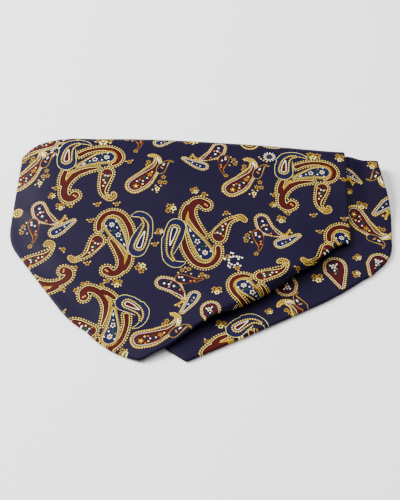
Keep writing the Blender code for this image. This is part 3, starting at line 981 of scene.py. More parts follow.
# %% The crested paisley
def crested_paisley(spray_by_drop):
    d = Drawing()
    body = [
        (-30.3, 28.8, 2.9), (-27.0, 31.2, 3.1), (-23.8, 34.2, 2.4), (-21.3, 37.6, 1.4),
        (-20.0, 41.0, 0.7), (-19.9, 43.6, 0.25),
    ]
    crest = [
        (-20.6, 39.0, 0.5), (-19.6, 42.6, 0.9), (-20.0, 45.2, 0.75), (-21.9, 46.9, 0.4),
        (-24.0, 46.8, 0.12),
    ]
    drop = [
        (-18.4, 37.2, 1.9), (-17.7, 39.5, 2.0), (-16.2, 42.1, 1.0), (-14.3, 43.5, 0.3),
        (-12.6, 43.0, 0.1),
    ]
    d.string(0, limb(body, 1.25), 0.62, 1.2)
    d.string(0, limb(crest, 0.45), 0.5, 1.1)
    d.fill(2, "navy_ground", limb(body, 0.85))
    d.fill(3, "gold", limb(crest, 0.1))
    d.string(4, limb(body, 0.7), 0.26, 0.84, "gold", None)
    d.fill(6, "burgundy", limb(body, 0.38))
    d.fill(7, "cream", limb(body, 0.15))
    d.fill(7, "cream", limb([(-20.2, 41.0, 0.3), (-19.4, 43.4, 0.4), (-20.2, 45.6, 0.15)]))
    d.fill(8, "burgundy", limb(body))
    flower(d, 9, -29.8, 28.3, 0.95, 5, 0.36, "gold", "pale_gold")
    flower(d, 9, -23.4, 34.6, 0.9, 5, 0.34, "gold", "orange")
    dots(d, 9, [(-27.2, 30.6), (-25.4, 31.8)], 0.9, "navy_ground")
    leaf(d, 10, -26.0, 33.0, 2.0, 1.2, 40, "green")
    leaf(d, 10, -25.2, 31.4, 1.8, 1.0, -20, "royal_blue")
    dots(d, 10, [(-28.0, 31.8), (-27.4, 28.0)], 0.42, "orange")
    dots(d, 10, [(-26.7, 29.4), (-22.4, 36.2)], 0.4, "pale_gold")
    dots(d, 10, [(-26.6, 31.0), (-29.3, 31.0), (-24.6, 32.6)], 0.38, "cream")
    dots(d, 9, [(-28.4, 30.0), (-31.6, 28.4)], 0.4, "green")
    d.fill(10, "gold", limb(drop, 0.26))
    d.fill(11, "navy_ground", limb(drop))
    leaf(d, 12, -17.0, 41.0, 1.7, 0.8, 60, "cream")
    dots(d, 12, [(-18.2, 39.2), (-17.6, 38.6)], 0.45, "orange")
    florets(d, 9, [(-24.6, 40.4), (-24.2, 42.6)])
    if spray_by_drop:
        florets(d, 9, [(-17.0, 33.2), (-18.6, 30.4), (-16.4, 30.2)])
        florets(d, 9, [(-19.8, 26.6)], "pale_gold", "burgundy")
        loose = [(-20.6, 28.4), (-18.2, 28.4), (-20.0, 24.8), (-22.0, 26.2)]
        dots(d, 9, loose, 0.5, "gold", "cream")
    return d


CRESTED_ANCHOR = (-25.3, 31.3)
print("a crested paisley has", len(crested_paisley(True).shapes), "filled shapes")


# %% [markdown]
# The second is a group of three: a beaded paisley, a red drop that hangs from it by its point,
# and a blue half moon on a gold stem. It is also printed in the mirror, which keeps the rows
# from marching in step.

# %% The group of three
def group_of_three():
    d = Drawing()
    head = [
        (-74.6, 18.6, 2.5), (-73.6, 15.6, 2.8), (-71.6, 12.4, 2.3), (-68.6, 10.0, 1.1),
        (-65.6, 9.2, 0.15),
    ]
    drop = [
        (-76.8, 10.8, 2.1), (-76.2, 8.2, 2.0), (-75.5, 5.2, 1.1), (-75.8, 2.4, 0.35),
        (-76.4, 0.6, 0.1),
    ]
    moon = [(-66.7, 4.6, 1.75), (-64.4, 5.6, 1.6), (-61.4, 7.4, 0.95), (-57.8, 9.9, 0.1)]
    d.string(0, limb(head, 0.85), 0.54, 1.24)
    d.fill(2, "navy_ground", limb(head, 0.4))
    d.fill(2, "gold", limb([(-65.8, 9.4, 0.6), (-63.6, 10.2, 0.55), (-62.2, 12.0, 0.6)]))
    dots(d, 2, [(-62.0, 12.8), (-61.2, 11.2), (-63.4, 9.2)], 0.6, "gold", "pale_gold")
    d.fill(3, "cream", limb(head, 0.17))
    d.fill(4, "burgundy", limb(head))
    d.fill(5, "navy_ground", limb(head, -0.75))
    dots(d, 6, [(-74.3, 18.0), (-73.7, 15.8), (-72.7, 13.6)], 0.5, "cream")
    dots(d, 6, [(-74.8, 14.9), (-72.3, 15.8), (-70.6, 10.9)], 0.5, "orange")
    dots(d, 6, [(-73.6, 19.6), (-72.0, 12.4), (-75.6, 16.6)], 0.42, "green")
    d.string(5, limb(moon, 0.9), 0.5, 1.1)
    d.fill(7, "navy_ground", limb(moon, 0.42))
    d.fill(8, "cream", limb(moon, 0.16))
    d.fill(9, "royal_blue", limb(moon))
    dots(d, 10, [(-65.6, 4.7), (-62.0, 7.1)], 0.35, "cream")
    dots(d, 10, [(-64.0, 5.6)], 0.45, "gold")
    d.fill(8, "gold", limb(drop, 0.42))
    d.fill(9, "burgundy", limb(drop, 0.28))
    d.fill(10, "navy_ground", limb(drop, -0.4))
    dots(d, 11, [(-77.6, 11.3), (-77.5, 10.0), (-75.9, 9.2)], 0.45, "cream")
    dots(d, 11, [(-75.3, 6.2), (-75.4, 4.6)], 0.5, "orange")
    florets(d, 6, [(-82.0, 7.0), (-81.4, 10.0)])
    dots(d, 6, [(-80.4, 8.4)], 0.6, "royal_blue", "cream")
    dots(d, 6, [(-80.0, 11.8), (-79.4, 6.0), (-82.8, 8.6)], 0.5, "gold", "cream")
    florets(d, 6, [(-77.6, -1.2)])
    return d


GROUP_ANCHOR = (-73.0, 12.0)
print("a group of three has", len(group_of_three().shapes), "filled shapes")


# %% [markdown]
# The ground between the figures is sown with small things: a round gold flower, a ring of white
# leaves, an open wreath of white buds, sprigs of florets, and a plain drop that stands on its
# point. At this scale a floret is five dots round a heart, and more would only blur.

# %% Small flowers, sprigs and the plain drop
def gold_flower():
    d = Drawing()
    d.string(0, disc(0, 0, 2.0, 14), 0.62, 1.15)
    d.string(2, disc(0, 0, 0.9, 8), 0.42, 0.85, "gold", "pale_gold")
    dots(d, 4, [(0, 0)], 0.5, "burgundy", "orange")
    return d


def white_ring():
    d = Drawing()
    for k in range(13):
        turn = 360 / 13 * k
        x, y = (2.25 * f(math.radians(turn)) for f in (math.cos, math.sin))
        leaf(d, 0, x, y, 1.6, 0.5, turn, "cream")
    dots(d, 1, [(0, 0)], 1.6, "navy_ground")
    dots(d, 2, [(0.1, -0.3), (-0.6, 0.6), (0.8, 0.5)], 0.34, "green", "gold")
    dots(d, 2, [(-2.8, -2.4), (-4.0, -1.5), (-1.4, -3.2), (-4.9, -0.4)], 0.5, "gold", "cream")
    return d


def sprig():
    d = Drawing()
    florets(d, 0, [(-0.9, 1.1), (1.1, 0.5)])
    florets(d, 0, [(-0.2, -1.1)], "pale_gold", "green")
    dots(d, 0, [(1.5, -1.3), (-2.0, -0.5)], 0.42, "gold", "cream")
    return d


def white_wreath():
    """An open ring of white buds with a few loose ones outside it."""
    d = Drawing()
    for k, reach in enumerate((2.3, 2.5, 2.2, 2.6, 2.3, 2.4, 2.2, 2.5, 2.3)):
        turn = math.radians(20 + 37 * k)
        x, y = reach * math.cos(turn), 1.15 * reach * math.sin(turn)
        dots(d, 0, [(x, y)], 0.5, "cream", "gold")
        if k % 2 == 0:
            loose = [(1.75 * x, 1.75 * y), (1.6 * x - 0.9, 1.6 * y + 0.7)]
            dots(d, 0, loose, 0.45, "cream", "gold")
    return d


def plain_drop():
    """An upright drop with its point down."""
    d = Drawing()
    rows = [(0.0, 3.6, 3.9), (0.0, 0.6, 3.9), (0.3, -3.6, 2.4), (1.6, -8.0, 0.3)]
    d.string(0, limb(rows, 0.9), 0.54, 1.22)
    d.fill(2, "navy_ground", limb(rows, 0.42))
    d.fill(3, "cream", limb(rows, 0.14))
    d.fill(4, "burgundy", limb(rows, 0.0))
    d.fill(8, "navy_ground", limb([(-0.5, 3.4, 2.3), (-0.4, 1.2, 2.0), (0.2, -2.0, 0.5)]))
    flower(d, 9, -0.6, 3.4, 0.9, 5, 0.36, "cream", "orange")
    dots(d, 9, [(-0.4, 1.2), (0.9, 4.6), (-1.9, 4.2)], 0.42, "cream")
    dots(d, 9, [(0.6, 2.0), (-0.2, -0.6)], 0.45, "orange")
    leaf(d, 9, 0.9, 0.4, 1.8, 0.8, 70, "green")
    return d


print("a plain drop has", len(plain_drop().shapes), "filled shapes, a sprig", len(sprig().shapes))


# %% [markdown]
# A layout says where each figure lies on the flat cloth and how far it is turned. A last pair
# of numbers, where there is one, is its width and length against the drawn ones, because a
# hand-cut screen is never quite even, and a width below 0 prints it in the mirror. The last rows
# lie beyond the crest, on the roll's far side.

# %% Where the figures lie on the upper blade
# figure, across, along, turn, and its width and length where they aren't 1
FRONT_LAYOUT = (
    ("upright", -43.3, 45.8, 4.0, 1.05, 1.08),
    ("upright", 58.0, 39.6, 0.0),
    ("slanting", -40.6, 7.6, 0.0, 1.0, 1.04),
    ("slanting", 2.6, -8.4, 183.0, 1.04, 1.12),
    ("slanting", 64.5, 3.6, 0.0),
    ("upright", -39.5, -53.5, -112.0, 1.0, 1.05),
    ("upright", 19.0, -27.5, 124.0, 1.05, 1.05),
    ("upright", -86.0, -14.0, 124.0),
    ("drop", 4.9, -43.8, 6.0, 0.88, 0.88),
    ("crested", -25.3, 31.3, 0.0),
    ("crested", 19.7, 30.5, 0.0),
    ("crested", -80.3, 37.3, 0.0),
    ("bare_crested", -20.3, -55.3, -25.0),
    ("crested", -76.8, 57.2, 150.0),
    ("group", -73.0, 12.0, 0.0),
    ("group", 30.0, 4.5, 0.0),
    ("group", -10.0, -26.0, 90.0, -1.0, 1.0),
    ("group", 7.5, 47.5, 0.0, -1.0, 0.9),
    ("group", -25.8, 63.0, 0.0),
    ("drop", -61.5, 60.4, 100.0, 0.95, 0.95),
    ("drop", 37.0, 58.4, 82.0, 0.95, 0.95),
    ("gold_flower", -84.5, 18.0, 0.0),
    ("gold_flower", 23.6, 56.4, 0.0, 1.9, 1.7),
    ("sprig", -45.6, 57.0, 0.0, 2.0, 1.3),
    ("sprig", -4.2, 57.2, 90.0, 1.6, 1.0),
    ("sprig", 53.8, 49.6, 0.0, 1.7, 1.0),
    ("sprig", 52.6, 57.2, 20.0, 1.9, 1.0),
    ("sprig", 66.2, 48.9, 0.0, 1.0, 1.2),
    ("sprig", -38.6, -58.6, 20.0),
    ("sprig", -33.2, -61.4, 80.0),
    ("white_ring", -68.0, 50.8, 0.0),
    ("white_ring", 32.8, 48.2, 0.0),
    ("sprig", -64.5, 18.4, 20.0),
    ("sprig", -68.8, 24.7, 80.0, 0.8, 0.8),
    ("sprig", 37.5, 12.0, 0.0),
    ("sprig", 33.8, 20.0, 60.0, 0.7, 0.7),
    ("sprig", -13.5, 16.0, 100.0, 1.2, 1.2),
    ("sprig", -2.5, 26.2, 40.0, 0.9, 0.9),
    ("sprig", -26.6, -16.2, 150.0, 1.2, 1.2),
    ("sprig", -37.0, -24.0, 0.0, 1.1, 1.1),
    ("sprig", -18.4, 3.0, 90.0, 0.8, 0.8),
    ("sprig", -51.0, -24.5, 30.0),
    ("sprig", 7.5, -30.0, 10.0, 1.1, 1.1),
    ("sprig", 12.0, 27.0, 10.0, 0.9, 0.9),
    ("white_wreath", 15.2, -12.4, 0.0),
    ("slanting", -6.0, 90.0, 0.0),
    ("slanting", 52.0, 69.5, 183.0),
    ("crested", -46.0, 71.0, 12.0),
    ("crested", 14.0, 71.0, -14.0),
    ("gold_flower", -64.0, 70.5, 0.0),
    ("sprig", -33.0, 75.0, 0.0),
    ("sprig", 30.0, 67.5, 0.0),
)
print("figures on the upper blade:", len(FRONT_LAYOUT))


# %% [markdown]
# Two blades cut from one length never show the pattern in the same place, so the lower one has
# its own table. Only the strip that shows beside the upper blade needs figures.

# %% Where the figures lie on the lower blade
UNDER_LAYOUT = (
    ("upright", 29.9, -60.3, -42.0),
    ("bare_crested", 73.8, 13.8, -98.0),
    ("crested", 47.4, -43.9, 60.0),
    ("crested", 91.4, 51.2, 180.0),
    ("group", 98.4, 20.6, 190.0, 1.12, 1.12),
    ("group", 62.4, 36.2, 176.0, -0.86, 0.86),
    ("sprig", 70.0, 31.0, 0.0, 0.7, 0.7),
    ("drop", 61.3, -15.2, 4.0, 1.06, 1.06),
    ("drop", 79.8, -12.0, -25.0),
    ("drop", 38.8, -20.5, 176.0),
    ("sprig", 75.6, 24.2, 0.0, 1.3, 0.9),
    ("sprig", 53.0, -18.4, 20.0, 1.2, 1.2),
    ("sprig", 70.5, -16.0, 120.0, 0.9, 0.9),
    ("sprig", 71.6, -6.2, 60.0, 0.9, 0.9),
    ("sprig", 9.3, -45.3, 0.0, 1.1, 1.1),
    ("sprig", 82.0, 48.4, 0.0, 1.1, 1.1),
    ("sprig", 30.5, -38.0, 50.0, 0.8, 0.8),
)
print("figures on the lower blade:", len(UNDER_LAYOUT))


# %% [markdown]
# Each figure is drawn once and then placed as often as the layouts ask, as a printer repeats a
# screen. What is laid out is still only a list of outlines and strings, with no mesh yet.

# %% Laying the figures out
FIGURES = {
    "upright": (great_paisley(UPRIGHT), UPRIGHT_ANCHOR),
    "slanting": (great_paisley(SLANTING), SLANTING_ANCHOR),
    "crested": (crested_paisley(True), CRESTED_ANCHOR),
    "bare_crested": (crested_paisley(False), CRESTED_ANCHOR),
    "group": (group_of_three(), GROUP_ANCHOR),
    "drop": (plain_drop(), (0.0, 0.0)),
    "gold_flower": (gold_flower(), (0.0, 0.0)),
    "white_ring": (white_ring(), (0.0, 0.0)),
    "sprig": (sprig(), (0.0, 0.0)),
    "white_wreath": (white_wreath(), (0.0, 0.0)),
}


def laid_out(rows):
    drawing = Drawing()
    for name, across, at, turn, *size in rows:
        figure, about = FIGURES[name]
        wide, long = size or (1.0, 1.0)
        drawing.add(figure.placed((across, at), turn, wide < 0, about, (abs(wide), long)))
    return drawing


front_drawing = laid_out(FRONT_LAYOUT)
under_drawing = laid_out(UNDER_LAYOUT)
print("shapes:", len(front_drawing.shapes), "and", len(under_drawing.shapes))
print("strings of beads:", len(front_drawing.strings), "and", len(under_drawing.strings))


# %% [markdown]
# The beads are what repeats, some thousands of times, so Geometry Nodes lays them. The tree
# resamples each string's curve at an even spacing, puts a small disc on every point, and makes
# the discs a little uneven with a fixed seed, as a hand-cut screen does. Its sizes are named
# inputs, so one tree serves the large border beads and the fine rope ones.

# %% A nodes tree that strings beads along a curve
BEAD_SIDES = 8
BEAD_SEED = 7


def bead_tree():
    tree = bpy.data.node_groups.new("beads_along_a_string", "GeometryNodeTree")
    sockets = (
        ("String", "INPUT", "NodeSocketGeometry", None),
        ("Spacing", "INPUT", "NodeSocketFloat", 1.2),
        ("Radius", "INPUT", "NodeSocketFloat", 0.6),
        ("Smallest", "INPUT", "NodeSocketFloat", 0.9),
        ("Largest", "INPUT", "NodeSocketFloat", 1.06),
        ("Seed", "INPUT", "NodeSocketInt", BEAD_SEED),
        ("Finish", "INPUT", "NodeSocketMaterial", None),
        ("Beads", "OUTPUT", "NodeSocketGeometry", None),
    )
    for name, way, kind, value in sockets:
        socket = tree.interface.new_socket(name=name, in_out=way, socket_type=kind)
        if value is not None:
            socket.default_value = value
    given = add_node(tree, "NodeGroupInput")
    points = add_node(
        tree,
        "GeometryNodeResampleCurve",
        {"mode": "LENGTH"},
        links=[("Curve", given, "String"), ("Length", given, "Spacing")],
    )
    disc_mesh = add_node(
        tree,
        "GeometryNodeMeshCircle",
        {"fill_type": "NGON"},
        {"Vertices": BEAD_SIDES},
        [("Radius", given, "Radius")],
    )
    # Random Value has a socket of each name for every data type: 2 and 3 are the float ones
    size = add_node(
        tree,
        "FunctionNodeRandomValue",
        {"data_type": "FLOAT"},
        links=[(2, given, "Smallest"), (3, given, "Largest"), ("Seed", given, "Seed")],
    )
    beads = add_node(
        tree,
        "GeometryNodeInstanceOnPoints",
        links=[("Points", points, "Curve"), ("Instance", disc_mesh, "Mesh"), ("Scale", size, 1)],
    )
    real = add_node(tree, "GeometryNodeRealizeInstances", links=[("Geometry", beads, "Instances")])
    inked = add_node(
        tree,
        "GeometryNodeSetMaterial",
        links=[("Geometry", real, "Geometry"), ("Material", given, "Finish")],
    )
    add_node(tree, "NodeGroupOutput", links=[("Beads", inked, "Geometry")])
    return tree


beads_along = bead_tree()
print("the bead tree has", len(beads_along.nodes), "nodes")


# %% [markdown]
# The strings of one kind go into one curve object, the tree makes their discs, and the result
# is read back as flat outlines. The object itself isn't kept: the beads are ink, not jewellery,
# so they are printed into the cloth's own mesh with all the other shapes.

# %% Stringing the beads
HEART = 0.55  # of a bead's radius: the paler dot in its middle


def strung(strings):
    """The beads of all the strings, as (layer, ink, outline)."""
    kinds = {}
    for layer, loop, *kind in strings:
        kinds.setdefault((layer, *kind), []).append(loop)
    shapes = []
    for (layer, radius, spacing, ink, heart), loops in kinds.items():
        curve = bpy.data.curves.new("bead_strings", "CURVE")
        for loop in loops:
            spline = curve.splines.new("POLY")
            spline.points.add(len(loop) - 1)
            places = np.column_stack([loop, np.zeros(len(loop)), np.ones(len(loop))])
            spline.points.foreach_set("co", places.ravel())
            spline.use_cyclic_u = True
        obj = bpy.data.objects.new("bead_strings", curve)
        bpy.context.scene.collection.objects.link(obj)
        modifier = obj.modifiers.new("beads", "NODES")
        modifier.node_group = beads_along
        sizes = {"Spacing": spacing, "Radius": radius, "Finish": silk[ink]}
        for item in beads_along.interface.items_tree:
            if item.name in sizes:
                modifier[item.identifier] = sizes[item.name]
        graph = bpy.context.evaluated_depsgraph_get()
        mesh = bpy.data.meshes.new_from_object(obj.evaluated_get(graph))
        places = np.empty(3 * len(mesh.vertices), np.float32)
        mesh.vertices.foreach_get("co", places)
        for ring in places.reshape(-1, BEAD_SIDES, 3)[:, :, :2].astype(float):
            shapes.append((layer, ink, ring))
            if heart:
                middle = ring.mean(axis=0)
                shapes.append((layer + 1, heart, middle + (ring[::2] - middle) * HEART))
        bpy.data.objects.remove(obj)
        bpy.data.meshes.remove(mesh)
        bpy.data.curves.remove(curve)
    return shapes


def print_of(drawing):
    """A drawing's shapes and beads in the order that they are printed: (ink, outline)."""
    shapes = sorted(drawing.shapes + strung(drawing.strings), key=lambda shape: shape[0])
    return [(ink, outline) for _, ink, outline in shapes]


front_print = print_of(front_drawing)
under_print = print_of(under_drawing)
print("printed shapes:", len(front_print), "and", len(under_print))


# %% [markdown]
# To print on a mesh, the cut edge, the inked outlines and a field of filling points go into one
# constrained triangulation. It splits every triangle where two outlines cross, and says which
# outlines each triangle lies in, so the last one laid on top gives the triangle its ink.

# %% Cutting the printed cloth
ROLL_ZONE = 43.0  # mm along: beyond here the cloth bends round the fold and needs finer points
SAME_PLACE = 1e-5  # mm; the triangulation takes closer points as one
INSET_TRIM = 0.97  # of the inset: a point nearer the edge belongs to a loop, and goes


def filling(outline, step, roll_step, clear):
    """Staggered points inside an outline, closer together where the cloth goes round the fold."""
    low, high = outline.min(axis=0), outline.max(axis=0)
    rows, level = [], low[1] + step / 2
    while level < high[1]:
        rows.append(level)
        level += roll_step if level > ROLL_ZONE else step
    points = []
    for i, level in enumerate(rows):
        across = np.arange(low[0] + step / 2 * (i % 2), high[0], step)
        points.append(np.column_stack([across, np.full(len(across), level)]))
    points = np.vstack(points)
    return points[distance_outside(points, outline) < -clear]


def inset(outline, by):
    """An outline moved inwards, without the loops that this makes at a sharp corner."""
    moved = outline - outward_of(outline) * by
    return moved[distance_outside(moved, outline) < -INSET_TRIM * by]


def printed_mesh(cut, filler, shapes):
    """The flat points, triangles and inks of a cut cloth with its printed shapes."""
    places, outlines = [], []
    inks = ["navy_ground"] + [ink for ink, _ in shapes]
    for outline in [cut] + [outline for _, outline in shapes]:
        outlines.append(list(range(len(places), len(places) + len(outline))))
        places.extend(Vector(p) for p in outline)
    places.extend(Vector(p) for p in filler)
    made = delaunay_2d_cdt(places, [], outlines, 1, SAME_PLACE, True)
    kept = [(f, inks[max(s)]) for f, s in zip(made[2], made[5]) if 0 in s]
    used, index = np.unique([f for f, _ in kept], return_inverse=True)
    flat = np.array([made[0][i][:2] for i in used])
    return flat, index.reshape(-1, 3), [ink for _, ink in kept]


def rim_of(triangles):
    """The loop of directed edges round a mesh, and the triangle that each one belongs to."""
    owner = {}
    for k, (a, b, c) in enumerate(triangles.tolist()):
        owner[a, b] = owner[b, c] = owner[c, a] = k
    after = {a: (b, k) for (a, b), k in owner.items() if (b, a) not in owner}
    first = next(iter(after))
    loop, owners, at = [], [], first
    while True:
        loop.append(at)
        at, k = after[at]
        owners.append(k)
        if at == first:
            break
    if len(loop) != len(after):
        raise ValueError("the cloth has more than one edge")
    return loop, owners


swatch = disc(0.0, 0.0, 5.0, 24)
_, swatch_triangles, _ = printed_mesh(swatch, filling(swatch, 2.0, 2.0, 0.5), [])
print("a round swatch, 10 mm across, is cut into", len(swatch_triangles), "triangles")


# %% [markdown]
# Every piece of cloth here ends as one mesh with two UV maps. One holds the cloth's flat
# coordinates in millimetres, for the twill and the threads. The other gives each face its own
# place in the square that a finish can be baked to, with the printed face, the back and the rim
# apart from each other.

# %% From points and faces to a finished piece of cloth
# The face, the back and the rim each have their own part of the square that is baked
PRINTED_PATCH = (0.01, 0.01, 0.8)  # left, low, width
BACK_PATCH = (0.83, 0.01, 0.16)
RIM_STRIP = (0.01, 0.8, 0.98, 0.18)  # left, low, width, height


def band_faces(rings):
    """Faces between rings of equally many points, from the first ring's side to the last's."""
    faces = []
    for first, second in zip(rings, rings[1:]):
        for i in range(len(first)):
            j = (i + 1) % len(first)
            faces.append([first[i], second[i], second[j], first[j]])
    return faces


def on_patch(flat, patch):
    """Flat cloth on its own part of the square that the finish is baked to."""
    left, low, wide = patch
    return np.array([left, low]) + (flat - flat.min(axis=0)) * wide / np.ptp(flat[:, 0])


def on_strip(rings, count):
    """The corners of a band's faces, unrolled along its own strip of the baked square."""
    left, low, wide, high = RIM_STRIP
    corners = []
    for row in range(rings - 1):
        for i in range(count):
            for k, across in ((row, i), (row + 1, i), (row + 1, i + 1), (row, i + 1)):
                corners.append((left + wide * across / count, low + high * k / (rings - 1)))
    return np.array(corners)


def cloth_object(name, points, faces, slots, flats, baked):
    mesh = bpy.data.meshes.new(name)
    mesh.from_pydata((points * MM).tolist(), [], faces)
    used = [ink for ink in INKS if ink in set(slots)]
    for ink in used:
        mesh.materials.append(silk[ink])
    mesh.polygons.foreach_set("material_index", [used.index(ink) for ink in slots])
    corners = np.empty(len(mesh.loops), np.int32)
    mesh.loops.foreach_get("vertex_index", corners)
    mesh.uv_layers.new(name="OFBake").data.foreach_set("uv", baked.ravel())
    mesh.uv_layers.new(name="flat_cloth").data.foreach_set("uv", flats[corners].ravel())
    mesh.shade_smooth()
    mesh.validate()
    obj = bpy.data.objects.new(name, mesh)
    bpy.context.scene.collection.objects.link(obj)
    mesh.calc_loop_triangles()
    print(name, "has", len(mesh.loop_triangles), "triangles")
    return obj


square_band = band_faces([[0, 1, 2, 3], [4, 5, 6, 7]])
print("a band round four corners has", len(square_band), "faces")


# %% [markdown]
# The turned edge of a blade isn't a sharp cut: the silk goes round the interlining, so the edge
# is a half round as thick as the cloth. The upper face is therefore cut a little small, and a
# few rows of faces carry its edge round to the lower face, each in the ink that it meets.

# %% A wall of cloth with a rounded turned edge
EDGE_TURNS = (25, 55, 90, 125, 155)  # degrees round the turned edge
RIM_CLEAR = 0.35  # of a step: the filling points keep this far from the edge


def cloth_shell(name, cut, shapes, place, steps):
    fine, roll_fine, coarse = steps
    edge = inset(cut, WALL / 2)
    filler = filling(edge, fine, roll_fine, RIM_CLEAR * fine)
    flat, triangles, inks = printed_mesh(edge, filler, shapes)
    loop, owners = rim_of(triangles)
    rim = flat[loop]
    out = outward_of(rim)
    rows = [place(flat, np.zeros(len(flat)))]
    for turn in np.radians(EDGE_TURNS):
        row = rim + out * WALL / 2 * math.sin(turn)
        rows.append(place(row, np.full(len(row), WALL / 2 * (math.cos(turn) - 1))))
    back_fill = filling(edge, coarse, roll_fine, RIM_CLEAR * coarse)
    back_flat, back_triangles, _ = printed_mesh(rim, back_fill, [])
    rows.append(place(back_flat, np.full(len(back_flat), -WALL)))
    starts = np.cumsum([0] + [len(row) for row in rows])
    # The rim's points come first in the back's mesh only if none was merged, so look them up
    back_at = {tuple(np.round(p, 4)): i for i, p in enumerate(back_flat)}
    rings = [loop] + [list(range(s, s + len(rim))) for s in starts[1:-2]]
    rings.append([starts[-2] + back_at[tuple(np.round(p, 4))] for p in rim])
    side = band_faces(rings)
    back_triangles = back_triangles[:, ::-1]
    faces = triangles.tolist() + side + (starts[-2] + back_triangles).tolist()
    slots = inks + [inks[k] for k in owners] * (len(rings) - 1)
    slots += ["navy_ground"] * len(back_triangles)
    baked = np.vstack(
        [
            on_patch(flat, PRINTED_PATCH)[triangles].reshape(-1, 2),
            on_strip(len(rings), len(rim)),
            on_patch(back_flat, BACK_PATCH)[back_triangles].reshape(-1, 2),
        ]
    )
    points = np.vstack(rows) - CENTRE
    flats = np.vstack([flat] + [rim] * len(EDGE_TURNS) + [back_flat])
    return cloth_object(name, points, faces, slots, flats, baked)


print("a turned edge goes round in", len(EDGE_TURNS) + 1, "steps")


# %% [markdown]
# Now both blades are cut, printed and laid. The steps are the distances between the filling
# points. They are wide where the cloth is nearly flat, close round the fold, and widest on the
# back, which has no print and is hardly seen.

# %% Both blades
BLADE_STEPS = (2.2, 0.9, 3.5)  # mm: on the face, round the fold, on the back
blade_front = cloth_shell(
    "printed_blade_front",
    front_cut,
    front_print,
    lambda flat, up: lay_front(flat, up, under_coarse),
    BLADE_STEPS,
)
blade_under = cloth_shell("printed_blade_under", under_cut, under_print, lay_under, BLADE_STEPS)
print("inks on the upper blade:", len(blade_front.data.materials))


# %% [markdown]
# Under the blades lie their upper ends and the pleated neck band, folded away. Nobody sees more
# than their folded edges, so they are one rounded form whose side is a pile of bowed folds.
# Every pleat could be laid as cloth too, but that would only add faces that never show.

# %% The folded lengths beneath
CORE_EDGE = (
    ("far left", -77.5, 49.5, 9.0, 0.0),
    ("left", -82.0, 16.0, 12.0, 0.0),
    ("near left", -62.0, -1.0, 14.0, 2.0),
    ("near", -12.0, -17.0, 18.0, 2.0),
    ("near right", 50.0, 4.0, 12.0, 1.0),
    ("right", 82.0, 24.0, 10.0, 0.0),
    ("far right", 81.0, 49.0, 4.0, 0.0),
)
# Each fold's share of the height, and how far it is set in, from the ground up
LAYERS = (
    (0.28, 0.2),
    (0.26, 1.7),
    (0.22, 0.6),
    (0.24, 2.1),
)
LAYER_BULGE = 1.1  # the most that one fold bows out
BULGE_SHARE = 0.36  # of a fold's own thickness
# The nose is the core's far side, which fills the inside of the blades' roll
NOSE_LEAST = 0.2  # its least radius
NOSE_SET_BACK = 0.7  # how far the side stands back above and below it
NOSE_SLACK = 0.25  # between it and the inside of the roll
NOSE_NORMALS = (0.35, 0.9)  # how far a side faces the fold where the nose begins and is full
SET_IN_MOST = 0.5  # of the height at the edge
CORE_PATCH = (0.01, 0.01, 0.48)  # its place in the square that is baked, as for the blades
CORE_BASE_PATCH = (0.51, 0.01, 0.48)
CORE_STEP = 4.0  # between the filling points
CORE_EDGE_STEP = 2.0  # between the points of its edge
CORE_CLEAR = 1.5  # from the edge to the nearest filling point
# A share of a fold's thickness, and how far it bows out there
FOLD_PROFILE = (
    (0.05, 0.3), (0.15, 0.7), (0.32, 0.95), (0.5, 1.0), (0.68, 0.95), (0.85, 0.7), (0.95, 0.3),
)

print("folds at the packet's edge:", len(LAYERS))


# %% [markdown]
# The side is built in rings, from the ground up. Along the packet's sides each ring bows out and
# in with the folds. At the far fold the rings follow the inside of the blades' roll, so the core
# fills it.

# %% The rings round the packet's side
def folded_rings(outline, out, rim_top, at_fold):
    """Rings of points round the side; at_fold is 0 along the sides and 1 at the far fold."""
    nose = np.maximum(fold_radius(outline[:, 0]) - 2 * PLY, NOSE_LEAST)
    middle = rim_top - nose
    rings, height = [], 0.0
    for thick, set_in in LAYERS:
        bulge = np.minimum(LAYER_BULGE, BULGE_SHARE * thick * rim_top)
        for part, bow in FOLD_PROFILE:
            level = (height + thick * part) * rim_top
            side = bow * bulge - np.minimum(set_in, SET_IN_MOST * rim_top)
            reach = nose**2 - (level - middle) ** 2
            tip = np.where(reach > 0, np.sqrt(np.maximum(reach, 0.0)) - NOSE_SLACK, -NOSE_SET_BACK)
            offset = (1 - at_fold) * side + at_fold * tip
            rings.append(np.column_stack([outline + out * offset[:, None], level]))
        height += thick
    return rings


print("rings round the packet's side:", len(LAYERS) * len(FOLD_PROFILE))


# %% [markdown]
# A flat base on the ground and a lid close the rings. The lid is the surface that the lower blade
# lies on, so it reads the same heights. It is the same triangulation that cuts the blades, with
# nothing printed on it.

